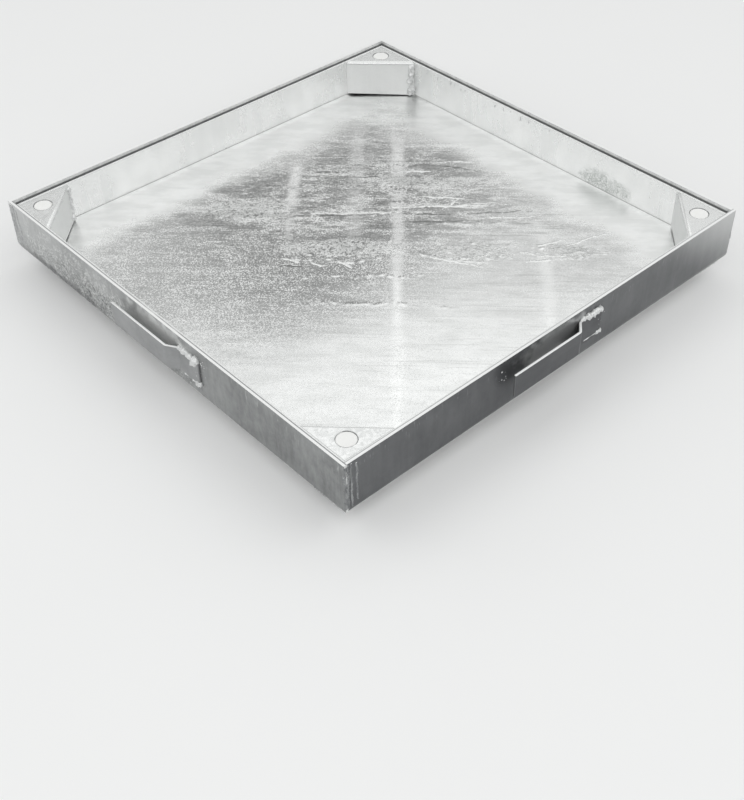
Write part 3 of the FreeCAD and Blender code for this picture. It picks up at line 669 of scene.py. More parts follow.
# %% [markdown]
# ## Zinc of the tray's floor
#
# The floor sparkles in a way that needs its own recipe. It is a near mirror, peppered with
# rough specks of two or three millimetres. A smooth speck shows the dark part of the room that
# lies in its reflection, and a rough one gathers light from all around, so the two differ
# strongly where the room is dark and hardly at all where it is bright. So the pattern drives
# the roughness, and the colour changes little.
#
# Three things break the pattern up. Along the two far walls the zinc froze slowly, into an even
# satin. In the far half the specks are drawn out into strokes, because it ran that way, and their
# colour is darker, which is painted shade. And where dross was caught there are curled patches,
# painted darker between their curls as painted shade, and torn strokes: pale crests, whose pale
# colour is partly a painted highlight, and dark strokes, whose darker colour is a painted
# reflection. Each is listed in millimetres along and across the tray's diagonal.

# %% The floor's zinc
SMOOTH_ZINC, SATIN_ZINC, FROSTED_ZINC = 0.05, 0.30, 0.46
CURL_HEIGHT = 0.30
CREST_HEIGHT = 0.25
FROST_HEIGHT = 0.004
WANDER = 9 * MM
# Strokes as (along, across, half the length, degrees), patches as (middle, size)
# Crests are real ridges, and their pale colour is partly a painted highlight
CRESTS = [(53, 165, 30, 3), (111, 190, 18, 3), (92, 104, 33, -5), (99, 91, 11, 49), (96, 86, 58, 4),
          (167, 63, 30, 4), (-19, 68, 51, 4), (139, -16, 15, 42), (108, -32, 28, -15), (192, -13, 9, -19),
          (221, -17, 19, -2), (204, -27, 18, 9), (218, 10, 18, 26), (262, 18, 27, 28), (-59, -40, 8, -27),
          (-25, -39, 7, -35), (-92, -33, 14, -15)]
# Dark strokes: smooth zinc, and their darker colour is a painted reflection of the dark room
DARK_STROKES = [(-62, 160, 24, 1), (-8, 150, 30, -1), (-89, 59, 18, 21), (-37, 61, 27, 4), (-89, -45, 15, 0),
           (-71, -19, 7, -15), (86, 52, 49, 3), (161, 73, 38, 6), (114, 173, 23, -14), (70, 67, 28, -1)]
PATCHES = [((-0.03, -0.006), (0.085, 0.020)), ((0.13, -0.012), (0.06, 0.022)),
           ((0.24, -0.008), (0.05, 0.020)), ((-0.15, 0.07), (0.07, 0.030)), ((0.06, 0.14), (0.09, 0.018))]
# Fades over metres: the far half, the calm part, and the satin zone along the far walls
FAR_HALF, CALM_ALONG, CALM_ACROSS, SATIN_ZONE = (-0.06, 0.07), (0.0, 0.13), (-0.02, 0.05), (0.18, 0.285)
# Fades over the sum of the patterns: where zinc turns from dark to grey, and from grey to frosted
DARK_TO_GREY, GREY_TO_FROST = (0.14, 0.46), (0.46, 0.80)
SPECK_SHARE, LINE_SHARE, WASH_SHARE, CLOUD_SHARE, STROKE_SHARE = 0.68, 0.09, 0.05, 0.12, 0.22
DRAWN_SHARE, HAZE_NEAR, HAZE_FAR, STAIN_SHARE = 0.45, 0.08, 0.22, 0.26
# Painted shade: the smooth specks are darker in the far half, for the darker room that they mirror
DARK_SMOOTH, PALE_SMOOTH = (0.56, 0.565, 0.56), (0.75, 0.755, 0.75)


def drawn(places, fineness, pull, low=0.35, high=0.65):
    """Streaks along the tray's diagonal; pull is how much of the pattern's frequency is left along it."""
    return use_group(zinc_streaks, places, Fineness=fineness, Turn=DIAGONAL, Pull=(pull, 1.0, 1.0),
                     Low=low, High=high)


def floor_zinc(name):
    """Specks, streaks and clouds added into one mask, which drives roughness, colour and a little height."""
    material, tree, shader, places = new_material(name)
    turned = turn_places(places, DIAGONAL)
    along, across = part_of(turned, "X"), part_of(turned, "Y")
    far = fade(across, *FAR_HALF)

    # Specks, drawn out in the far half and calm in the right part
    speck = use_group(zinc_grain, places, Fineness=600.0, Sharpness=4.2)["Grain"]
    long_speck = drawn(places, 800.0, 0.20, 0.36, 0.64)["Streak"]
    speck = blend_values(product(far, DRAWN_SHARE), speck, long_speck)
    calm = product(fade(along, *CALM_ALONG), fade(across, *CALM_ACROSS, 0.55, 0.32))
    speck = blend_values(calm, speck, 0.5)

    # The sum of all patterns
    lines = drawn(places, 230.0, 0.09)
    strokes = drawn(places, 420.0, 0.05, 0.60, 0.68)["Streak"]
    cloud = use_group(zinc_clouds, places, Fineness=10.0)["Cloud"]
    haze = math_node("SUBTRACT", drawn(places, 75.0, 0.35, 0.40, 0.62)["Streak"], 0.5)
    hazy = product(haze, fade(far, 0, 1, HAZE_NEAR, HAZE_FAR))
    total = math_node("ADD", product(speck, SPECK_SHARE), hazy)
    total = add_parts(total, [(lines["Streak"], LINE_SHARE), (lines["Wash"], WASH_SHARE),
                              (cloud, CLOUD_SHARE), (strokes, STROKE_SHARE)])

    # The satin zone along the two far walls, with a ragged border
    ragged = math_node("ADD", product(lines["Wash"], 0.012), product(cloud, 0.03))
    farthest = math_node("MAXIMUM", part_of(places, "X"), part_of(places, "Y"))
    satin = fade(math_node("ADD", farthest, ragged), *SATIN_ZONE)

    # Torn strokes on places that wander a little
    torn = noise(turned, 230.0, Detail=3.0)
    bent = vector_node("ADD", turned, scaled(noise(turned, 55.0, "Color", Detail=2.0), WANDER))
    bent = vector_node("SUBTRACT", bent, (WANDER / 2, WANDER / 2, WANDER / 2))
    crest = dross_strokes(bent, torn, CRESTS)
    dark_stroke = dross_strokes(bent, torn, DARK_STROKES)

    # Roughness
    frost = math_node("MAXIMUM", fade(total, *GREY_TO_FROST), crest)
    frost = math_node("SUBTRACT", frost, dark_stroke, clamp=True)
    polish = fade(satin, 0, 1, SMOOTH_ZINC, SATIN_ZINC)
    give(shader, Metallic=1.0, Roughness=blend_values(frost, polish, FROSTED_ZINC))

    # Colour: that of the smooth specks, painted darker in the far half as painted shade, then each mark over
    # it
    patch = dross_patches(places, "Patch")
    # Painted shade: darker between the curls of each patch
    shade_between_curls = math_node("SUBTRACT", dross_patches(places, "Inside"), patch, clamp=True)
    grey_mask = math_node("MAXIMUM", fade(total, *DARK_TO_GREY), satin)
    stain = product(drawn(places, 60.0, 0.4, 0.40, 0.64)["Streak"], STAIN_SHARE)
    scratched = product(fade(satin, 0, 1, 1.0, 0.15), fade(far, 0, 1, 0.2, 0.5))
    scratch = product(drawn(places, 330.0, 0.035, 0.60, 0.66)["Streak"], scratched)
    grey = blend_colours(far, PALE_SMOOTH, DARK_SMOOTH)
    for mask, tint in ((grey_mask, (0.93, 0.935, 0.93)), (frost, (0.96, 0.965, 0.96)),
                       (stain, (0.64, 0.65, 0.64)), (scratch, (0.42, 0.425, 0.42)),
                       (product(shade_between_curls, 0.35), (0.45, 0.455, 0.45)),
                       (product(dark_stroke, 0.7), (0.36, 0.365, 0.36)), (crest, (0.98, 0.985, 0.98))):
        grey = blend_colours(mask, grey, tint)
    give(shader, Base_Color=grey)

    curls = add_parts(product(patch, CURL_HEIGHT), [(crest, CREST_HEIGHT)])
    bumps(shader, math_node("ADD", product(frost, FROST_HEIGHT), curls), MM)
    return material


zinc_floor = floor_zinc("zinc_tray_floor")
print("material:", zinc_floor.name)

# %% [markdown]
# ## Marks on the tray's walls and pockets
#
# Three marks lie over the finished zinc. The right wall has a ragged patch where dross dried
# on. A thin dark line of painted shade runs in the crease where each wall rises out of the zinc
# fillet at its foot. And a thin ring of painted shade lies in the gap around each plug. Each
# belongs to one place, so it isn't part of the recipe: it is a small step that blends a tint over
# the colour that is already there.

# %% Marks over a finished material
# Painted shade in the crease at the foot of each wall
FOOT_HIGH, FOOT_DARK = 2.2 * MM, (0.42, 0.43, 0.42)
# Painted shade in the gap around each plug
RING_FROM, RING_TO = 11.0 * MM, 11.9 * MM


def tint_over(material, masks, tint):
    """Each mask that the function yields for the places blends the tint over the colour."""
    tree = material.node_tree
    colour_input = tree.nodes["Principled BSDF"].inputs["Base Color"]
    colour = colour_input.links[0].from_socket
    for mask in masks(object_places(tree)):
        colour = blend_colours(mask, colour, tint)
    tree.links.new(colour, colour_input)


def tint_patches(material, tinted_areas, tint=(0.28, 0.31, 0.29), fineness=330.0, flat=0.10, curled=0.95,
               crest=0.075):
    """Ragged patches, each (middle, size), over a finished zinc material: flat is how much of the
    tint lies all over a patch, and curled how much lies on its curls."""
    def masks(places):
        for middle, size in tinted_areas:
            dross = use_group(zinc_patch, places, Middle=middle, Size=size, Fineness=fineness,
                              Crest=crest)
            yield add_parts(product(dross["Inside"], flat), [(dross["Patch"], curled)])
    tint_over(material, masks, tint)


def foot_line(places):
    """A thin line of painted shade in the crease where each wall rises out of the zinc fillet at its foot: a
    band of heights.
    """
    from_line = math_node("SUBTRACT", part_of(places, "Z"), floor_top + FOOT_HIGH)
    yield fade(math_node("ABSOLUTE", from_line), 0.3 * MM, 1.2 * MM, 0.55, 0.0)


def plug_ring_shade(places):
    """A thin ring of painted shade in the gap around each plug: the distance from the screw axis, the same in
    all four corners.
    """
    folded = vector_node("ABSOLUTE", places)
    level = vector_node("SUBTRACT", folded, (screw_at, screw_at, 0))
    level = vector_node("MULTIPLY", level, (1, 1, 0))
    ring = fade(vector_node("LENGTH", level), RING_FROM, RING_TO, 0.85, 0.0)
    ring_breaks = use_group(zinc_clouds, places, Fineness=110.0)["Cloud"]
    yield product(ring, fade(ring_breaks, 0.0, 0.6, 0.35, 1.0))


tint_patches(zinc_stained, [((0.29, -0.12, 0.043), (1.0, 0.055, 0.020))])
# Painted shade in the gap around each plug
tint_over(zinc_pocket, plug_ring_shade, SLOT_SHADE)
# Painted shade in the crease at the foot of each wall
for material in (zinc_tray, zinc_stained):
    tint_over(material, foot_line, FOOT_DARK)
print("marks on:", zinc_stained.name, zinc_pocket.name, zinc_tray.name)

# %% [markdown]
# ## The outer walls and their painted shade
#
# The outer walls have lost their shine, so their zinc is rougher than the tray's, and their dark
# colours are painted shade that follows how each side faces the light. The front wall is the
# darkest, a smooth lead grey, with painted light towards its right end and upper corner. The left
# wall is mottled with curled pale and dark marks, and painted light makes it lightest at its
# upper left end. Short pale runs hang under the rims, the wall behind a lug is painted paler
# where the lug shades it, and a painted shadow line lies along the inner edge of the two rims
# that face the camera.

# %% Zinc for the four sides of the frame
OUTWARD = {"front": (0, -1, 0), "right": (1, 0, 0), "back": (0, 1, 0), "left": (-1, 0, 0)}
# Each side's colours are painted shade and light by how it faces the light: the front darkest, the left
# paler, the unseen right and back paler still. The paler gradients are painted light, and slot is a painted
# shadow line.
FAR_SIDE = dict(rough=(0.3, 0.46), metal=0.6, runs=0.4, grain=(300.0, 0.15, 0.04),
                crystals=(240.0, 0.2, 0.02), streaks=(150.0, 0.25, 0.03), pull=UPRIGHT)
SIDE_LOOKS = {
    "front": dict(pale=(0.19, 0.195, 0.2), dull=(0.07, 0.073, 0.079), rough=(0.3, 0.42), metal=0.55,
                  grain=(260.0, 0.1, 0.02), crystals=(120.0, 0.06, 0.0), streaks=(90.0, 0.14, 0.02),
                  pull=UPRIGHT, clouds=(12.0, 0.3), runs=0.14, slot=0.55,
                  lighter=[((1, 0, 0), 0.0, 0.2, 0.05), ((1, 0, 1.6), 0.28, 0.45, 0.62)]),
    "left": dict(pale=(0.46, 0.47, 0.47), dull=(0.085, 0.088, 0.09), rough=(0.3, 0.5), metal=0.55, runs=0.4,
                 grain=(330.0, 0.08, 0.04), crystals=(260.0, 0.06, 0.02), streaks=(150.0, 0.12, 0.02),
                 pull=(1, 1, 0.3), clouds=(16.0, 0.26), slot=0.8,
                 lighter=[((0, 1, 0), -0.28, 0.25, 0.28), ((0, 1, 1.5), 0.3, 0.44, 0.4)]),
    "right": dict(FAR_SIDE, pale=(0.55, 0.56, 0.56), dull=(0.2, 0.205, 0.21), clouds=(13.0, 0.35)),
    "back": dict(FAR_SIDE, pale=(0.5, 0.51, 0.515), dull=(0.18, 0.185, 0.19), clouds=(11.0, 0.35))}
zinc_side = {side: zinc("zinc_side_" + side, outer=OUTWARD[side], painted_top_light=1.0, **SIDE_LOOKS[side])
             for side in SIDES}

# Pale curls, dark curls and a darker band along the lower edge; each patch is only as deep as the wall
left = zinc_side["left"]
tint_patches(left, [((-half, 0.14, 0.045), (0.02, 0.22, 0.05)), ((-half, 0.03, 0.045), (0.02, 0.1, 0.04))],
           tint=(0.80, 0.81, 0.80), fineness=125.0, flat=0.03, curled=0.9, crest=0.065)
tint_patches(left, [((-half, 0.10, 0.035), (0.02, 0.22, 0.04))], tint=(0.04, 0.043, 0.045), fineness=150.0,
           flat=0.0, curled=0.8, crest=0.065)
tint_patches(left, [((-half, 0.21, 0.024), (0.02, 0.15, 0.016))], tint=(0.08, 0.082, 0.086), fineness=90.0,
           flat=0.55, curled=0.25)
# Painted light: the wall behind the two lugs that show is made paler where the lug shades it
for side, tint, flat, below_edge, reach in (
        ("left", (0.9, 0.91, 0.9), 0.85, 8 * MM, (0.02, 0.085, 0.034)),
        ("front", (0.68, 0.69, 0.69), 0.6, 6 * MM, (0.075, 1.0, 0.028))):
    lug_low, lug_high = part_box("anchor_lug_" + side)
    behind = (lug_low + lug_high) / 2
    middle = (-half if side == "left" else behind.x, behind.y, lug_high.z - below_edge)
    tint_patches(zinc_side[side], [(middle, reach)], tint=tint, flat=flat, curled=0.0)
print("zinc materials for the frame's sides ready")

# %% [markdown]
# ## Zinc of the lugs and the welds
#
# Each lug is a short flat bar, bent outwards so that concrete can grip behind it. The front lug
# is as dark as its wall and the other lugs are paler, which is painted shade, and the end of each
# lug is painted paler, which is painted light. Weld beads are the palest zinc of all, because it
# froze thick on the rough metal. The seams at the corners are darker like the walls beside them,
# which is painted shade, and darkest at the front left corner.

# %% Zinc for lugs, welds and seams
# Painted shade: the front lug is as dark as its wall and the other lugs are paler
DARK_LUG = dict(pale=(0.15, 0.154, 0.16), dull=(0.08, 0.083, 0.088))
LIGHT_LUG = dict(pale=(0.47, 0.476, 0.48), dull=(0.26, 0.265, 0.27))
END_EDGE = 1.0 * MM

front_lug_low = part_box("anchor_lug_front")[0]
lug_end = -front_lug_low.x
zinc_lug = {}
# The end of each lug is painted paler, which is painted light
for side, toward_end, tones, glint in (
        ("front", (-1, 0, 0), DARK_LUG, 0.12), ("right", (0, -1, 0), LIGHT_LUG, 0.5),
        ("back", (1, 0, 0), LIGHT_LUG, 0.5), ("left", (0, 1, 0), LIGHT_LUG, 0.5)):
    zinc_lug[side] = zinc("zinc_lug_" + side, rough=(0.34, 0.46), metal=0.6, grain=(300.0, 0.15, 0.02),
                          streaks=(90.0, 0.1, 0.01), clouds=(30.0, 0.3), painted_top_light=1.0,
                          lighter=[(toward_end, lug_end - END_EDGE, lug_end, glint)], **tones)
# A small dark patch on the wall just under the seat of the front lug
low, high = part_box("lug_weld_front")
tint_patches(zinc_side["front"], [((high.x - 16 * MM, low.y, front_lug_low.z - 3 * MM), (0.016, 1.0, 0.007))],
           tint=(0.03, 0.032, 0.034), fineness=300.0, flat=0.35, curled=0.6)

zinc_weld = zinc("zinc_welds", pale=(0.97, 0.975, 0.97), dull=(0.70, 0.71, 0.71), rough=(0.25, 0.5),
                 metal=0.5, grain=(600.0, 0.3, 0.1), crystals=(400.0, 0.15, 0.04),
                 streaks=(300.0, 0.1, 0.02), clouds=(60.0, 0.2))
SEAMS = dict(rough=(0.3, 0.5), grain=(500.0, 0.3, 0.1), crystals=(300.0, 0.1, 0.04), pull=(1, 1, 0.35),
             clouds=(40.0, 0.2), painted_top_light=1.0)
# Painted shade: the seam at the front left corner is as dark as its two walls; the other seams are paler,
# like theirs
zinc_seam = zinc("zinc_seams", pale=(0.5, 0.51, 0.515), dull=(0.1, 0.104, 0.11),
                 streaks=(420.0, 0.35, 0.12), **SEAMS)
zinc_seam_pale = zinc("zinc_seams_pale", pale=(0.72, 0.73, 0.73), dull=(0.3, 0.305, 0.31),
                      streaks=(420.0, 0.25, 0.06), **SEAMS)
print("zinc materials for lugs and welds ready")

# %% [markdown]
# ## Plastic, rubber and screw steel
#
# The plugs are white plastic, slightly glossy, with a faint skin from the mould. The seal is
# black rubber with a matt bloom. The screws are zinc-plated and smoother than dipped steel.

# %% The other three finishes


def plain_finish(name, light, dark, rough, fineness, depth, metal=0.0, sheen=0.0):
    """A finish whose colour and roughness wander a little, with a fine bump of the given depth in mm."""
    material, tree, shader, places = new_material(name)
    fine = use_group(zinc_grain, places, Fineness=fineness)["Grain"]
    cloud = use_group(zinc_clouds, places, Fineness=fineness / 12)["Cloud"]
    tone = add_parts(product(fine, 0.3), [(cloud, 0.7)])
    give(shader, Base_Color=blend_colours(tone, dark, light), Roughness=fade(tone, 0, 1, rough[1], rough[0]),
         Metallic=metal, Sheen_Weight=sheen)
    bumps(shader, fine, depth * MM)
    return material


white_plastic = plain_finish("plug_plastic", light=(0.94, 0.94, 0.925), dark=(0.90, 0.90, 0.885),
                             rough=(0.3, 0.45), fineness=700.0, depth=0.01)
black_rubber = plain_finish("seal_rubber", light=(0.03, 0.03, 0.032), dark=(0.012, 0.012, 0.013),
                            rough=(0.5, 0.75), fineness=900.0, depth=0.03, sheen=0.15)
screw_steel = plain_finish("screw_steel", light=(0.72, 0.73, 0.74), dark=(0.45, 0.46, 0.47),
                           rough=(0.25, 0.4), fineness=800.0, depth=0.02, metal=1.0)
print("plastic, rubber and screw steel ready")

# %% [markdown]
# ## Dress the CAD nodes
#
# Dipping rounds every sharp edge, because molten zinc draws back from it. The CAD plates have
# sharp edges, so a small Bevel goes on each. Its nodes are loose triangles, which a Weld
# modifier joins first. The mesh itself stays untouched.

# %% Materials and soft edges
EDGE_SOFT = 0.6 * MM
LUG_SOFT = 1.0 * MM
JOIN_WITHIN = 0.002 * MM
SOFT_STEPS = 3
SHARPER_THAN = math.radians(40)


def dress(node_name, material, soft=EDGE_SOFT):
    """One CAD node gets its material and, unless soft is 0, edges rounded by that much."""
    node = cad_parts[node_name]
    node.data.materials.clear()
    node.data.materials.append(material)
    if soft:
        weld = node.modifiers.new("join", "WELD")
        weld.merge_threshold = JOIN_WITHIN
        bevel = node.modifiers.new("soft_edges", "BEVEL")
        bevel.width = soft
        bevel.segments = SOFT_STEPS
        bevel.limit_method = "ANGLE"
        bevel.angle_limit = SHARPER_THAN


for side in SIDES:
    dress("frame_" + side, zinc_side[side])
    dress("anchor_lug_" + side, zinc_lug[side], soft=LUG_SOFT)
    dress("tray_wall_" + side, zinc_stained if side == "right" else zinc_tray)
    dress("seal_strip_" + side, black_rubber, soft=0)
    dress("lug_weld_" + side, zinc_weld, soft=0)
for corner in CORNERS:
    dress("corner_pocket_" + corner, zinc_pocket)
    for kind in ("corner_weld_", "flange_weld_", "pocket_weld_"):
        dress(kind + corner, zinc_weld, soft=0)
for node_name, material in (("tray_floor", zinc_floor), ("clamp_nuts", zinc_pocket), ("nut_welds", zinc_weld),
                            ("clamp_screws", screw_steel), ("seal_washers", screw_steel),
                            ("hole_plugs", white_plastic)):
    dress(node_name, material, soft=0)
print("dressed", len(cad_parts), "nodes")

# %% [markdown]
# ## Mesh tools for new pieces
#
# Every new piece is a grid of points worked out as whole numpy arrays: rows along the piece
# and columns around it or across it. Closed shapes are joined at both ends, and each shape is
# turned the right way out by the sign of its volume before it becomes a mesh.

# %% Grids, tubes and closed shapes


def grid_faces(rows, columns, around=False, over=False):
    """Four-sided faces between neighbours of a grid; it may close around its columns and over its rows."""
    row, column = np.meshgrid(np.arange(rows if over else rows - 1),
                              np.arange(columns if around else columns - 1), indexing="ij")
    below, beside = (row + 1) % rows, (column + 1) % columns
    corners = [row * columns + column, row * columns + beside,
               below * columns + beside, below * columns + column]
    return np.stack(corners, -1).reshape(-1, 4)


def outward(points, quads, triangles=np.zeros((0, 3), int)):
    """The same shape with its faces turned outwards: a closed shape's volume must be positive."""
    every = np.vstack([quads[:, [0, 1, 2]], quads[:, [0, 2, 3]], triangles])
    a, b, c = (points[every[:, k]] - points.mean(0) for k in range(3))
    if np.einsum("ij,ij->i", a, np.cross(b, c)).sum() < 0:
        return points, quads[:, ::-1], triangles[:, ::-1]
    return points, quads, triangles


def closed_tube(rings):
    """A tube of rings, shut at each end by a fan to the middle of its last ring."""
    count, around = rings.shape[:2]
    ring = np.arange(around)
    after = (ring + 1) % around
    points = np.vstack([rings.reshape(-1, 3), rings[0].mean(0), rings[-1].mean(0)])
    last = (count - 1) * around
    fans = np.vstack([np.stack([np.full(around, count * around), after, ring], -1),
                      np.stack([np.full(around, count * around + 1), last + ring, last + after], -1)])
    return outward(points, grid_faces(count, around, around=True), fans)


def make_piece(name, shapes, material, replaces=(), smooth_below=50):
    """One object out of closed shapes. It rides on the root and stands for CAD nodes."""
    points, faces, start = [], [], 0
    for shape_points, quads, triangles in shapes:
        points.append(shape_points)
        faces += (quads + start).tolist() + (triangles + start).tolist()
        start += len(shape_points)
    mesh = bpy.data.meshes.new(name)
    mesh.from_pydata(np.vstack(points).tolist(), [], faces)
    mesh.shade_smooth()
    mesh.set_sharp_from_angle(angle=math.radians(smooth_below))
    mesh.materials.append(material)
    piece = add_object(name, mesh)
    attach(piece, "root")
    if replaces:
        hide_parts(*replaces)
    print("%s: %d shapes, %d faces" % (name, len(shapes), len(faces)))
    return piece


def quarter_turn(points, number):
    """Points of the front side or front left corner, turned to side or corner number 0 to 3."""
    cosine, sine = ((1, 0), (0, 1), (-1, 0), (0, -1))[number]
    turned = points.copy()
    turned[..., 0] = points[..., 0] * cosine - points[..., 1] * sine
    turned[..., 1] = points[..., 0] * sine + points[..., 1] * cosine
    return turned


def turn_shapes(shapes, number):
    """Shapes made for the front side or front left corner, turned to side or corner number 0 to 3."""
    return [(quarter_turn(points, number), quads, triangles) for points, quads, triangles in shapes]


def turn_back(node_name, number):
    """The box of a node on side or corner number 0 to 3, turned back to the front or front left."""
    corners = np.array([list(corner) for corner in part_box(node_name)])
    turned = quarter_turn(corners, (4 - number) % 4)
    return turned.min(0), turned.max(0)


print("mesh tools ready")

# %% Lumps, ripples and beads


def lumps(places, size, seed, waves=14):
    """A smooth random field, mostly between -1 and 1: sine waves about size long, in random directions."""
    draw = np.random.default_rng(seed)
    heading = draw.normal(size=(waves, 3))
    heading /= np.linalg.norm(heading, axis=1, keepdims=True)
    length = size * draw.uniform(0.6, 1.7, waves)
    angle = places @ (heading * (2 * np.pi / length)[:, None]).T + draw.uniform(0, 2 * np.pi, waves)
    return np.sin(angle).sum(-1) * math.sqrt(2 / waves) * 0.8


def line(first, last, count):
    """Points evenly spaced on a straight line."""
    return np.linspace(0, 1, count)[:, None] * (np.array(last) - np.array(first)) + np.array(first)


def bead(path, radius, seed, reference=(0, 0, 1), ripple=2.4 * MM, swell=0.16, blob=0.0, around=14):
    """A weld bead along a path.

    Its radius is the given one, times a ripple that leans back at its sides like the marks of
    a weaving torch, times slow lumps, and it closes like half an ellipse at both ends. blob
    makes the last few millimetres fatter, where the welder stopped.
    """
    step = np.gradient(path, axis=0)
    along = step / np.linalg.norm(step, axis=1, keepdims=True)
    side = np.cross(along, np.array(reference, float))
    side /= np.linalg.norm(side, axis=1, keepdims=True)
    up = np.cross(side, along)
    distance = np.concatenate([[0], np.cumsum(np.linalg.norm(np.diff(path, axis=0), axis=1))])
    angle = np.linspace(0, 2 * np.pi, around, endpoint=False)
    wave = np.sin(2 * np.pi * distance[:, None] / ripple + 1.6 * np.cos(angle)
                  + 2 * lumps(path, 9 * MM, seed)[:, None])
    from_end = np.minimum(distance, distance[-1] - distance) / (1.2 * radius)
    closing = np.sqrt(np.clip(1 - (1 - np.clip(from_end, 0, 1)) ** 2, 0.0004, 1))
    fatter = 1 + blob * np.exp(-((distance - distance[-1] + 2 * radius) / (1.6 * radius)) ** 2)
    slow = 1 + swell * lumps(path, 7 * MM, seed + 1)
    reach = radius * closing * fatter * slow
    rings = path[:, None, :] + reach[:, None, None] * (
        np.cos(angle)[None, :, None] * side[:, None, :] + np.sin(angle)[None, :, None] * up[:, None, :])
    rough = 0.07 * wave + 0.13 * lumps(rings, 2.6 * MM, seed + 2) + 0.06 * lumps(rings, 1.3 * MM, seed + 3)
    rings += (rings - path[:, None, :]) * rough[..., None]
    return closed_tube(rings)


print("bead tool ready")

# %% [markdown]
# ## The welds of the frame
#
# At each corner the end of one wall shows beside the next one, and an upright run of weld
# closes that seam. The rounded end of the flange below it has its own run, and so does the
# outer part of the joint between two flanges. They were made by hand before the dip, so they
# are uneven, with ripples every few millimetres. A bead could be a bump on the plate, but it
# breaks the outline of the corner, so it is a real mesh: a tube with a rippled radius that
# lies half in the steel.

# %% Corner welds and flange welds
EDGE_RUN, EDGE_RADIUS, FLANGE_RADIUS = 52 * MM, 1.75 * MM, 2.1 * MM
FOLD_OUT = 11.0 * MM
BEND_RISE = FOLD_OUT * (1 - math.cos(math.radians(45)))
# The upright weaves as (offset from the corner, radius) in mm; only the last is shorter and drifts more
WEAVES = [(1.7, 1.7), (4.8, 1.6), (9.0, 1.5), (16.0, 1.4)]


def corner_beads(number, seed):
    """The upright seam as four weaves, then the run along the rounded end of the flange."""
    seam_low, seam_high = flange_z + FOLD_OUT - 1 * MM, rim_z - 1.2 * MM
    shapes = []
    for weave, (offset, radius) in enumerate(WEAVES):
        last = weave == len(WEAVES) - 1
        heights = np.linspace(seam_low + last * 5 * MM, seam_high - last * 3 * MM, 60)
        upright = np.stack([heights * 0, heights * 0, heights], -1)
        drift = (0.5 + 0.4 * last) * MM * lumps(upright, 18 * MM, seed + 20 + weave)
        path = np.stack([-half + offset * MM + drift, np.full(60, -half + 0.8 * MM), heights], -1)
        shapes.append(bead(path, radius * MM, seed + weave, reference=(0, -1, 0), swell=0.06))
    on_bend = BEND_RISE + 0.85 * MM
    run = line((-half + on_bend, -half + FOLD_OUT, flange_z + on_bend),
               (-half + on_bend, -half + EDGE_RUN, flange_z + on_bend), 70)
    shapes.append(bead(run, EDGE_RADIUS, seed + 5, swell=0.05))
    return turn_shapes(shapes, number)


for number, corner in enumerate(CORNERS):
    make_piece("weld_corner_" + corner, corner_beads(number, 100 * number + 7),
               zinc_seam if corner == "front_left" else zinc_seam_pale,
               replaces=["corner_weld_" + corner])
    low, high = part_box("flange_weld_" + corner)
    reach = (high - low) / 2
    reach = Vector((reach.x, 0, 0)) if number % 2 == 0 else Vector((0, reach.y, 0))
    ends = [(low + high) / 2 + way * reach + Vector((0, 0, 1.0 * MM)) for way in (-1, 1)]
    shape = bead(line(*ends, 44), FLANGE_RADIUS, 31 + number, swell=0.2)
    make_piece("weld_flange_" + corner, [shape], zinc_weld, replaces=["flange_weld_" + corner])

# %% [markdown]
# ## The welds of the lugs
#
# Each lug is held by a fat run along the top of its seated end, laid with too much heat: it is
# lumpy, spills over the top edge and ends in a blob. A short tack sits under its lower edge.
# The run's place comes from the box of the CAD bead, turned back to the front side.

# %% Lug welds and spatter
TOP_RADIUS, TACK_RADIUS, FOOT_RADIUS = 2.8 * MM, 2.8 * MM, 1.1 * MM
SPATTER_COUNT, FREE_SPATTER_COUNT = 16, 9


def droplets(centres, sizes, seed, flat=0.6, rows=5, around=8):
    """Small lumpy balls, pressed flat along the wall's depth, one at each centre."""
    tilt = np.linspace(0.25, np.pi - 0.25, rows)[:, None]
    angle = np.linspace(0, 2 * np.pi, around, endpoint=False)[None, :]
    ball = np.stack([np.sin(tilt) * np.cos(angle), np.cos(tilt) * flat + 0 * angle,
                     np.sin(tilt) * np.sin(angle)], -1)
    shapes = []
    for centre, size in zip(centres, sizes):
        bumpy = ball * (1 + 0.25 * lumps(ball * size + centre, 3 * size, seed))[..., None]
        shapes.append(closed_tube(bumpy * size + centre))
    return shapes


def scatter(low, high, count, seed):
    """Seeded random places in a box, with sizes that are mostly small."""
    draw = np.random.default_rng(seed)
    return draw.uniform(low, high, (count, 3)), 0.3 * MM + 0.6 * MM * draw.random(count) ** 3


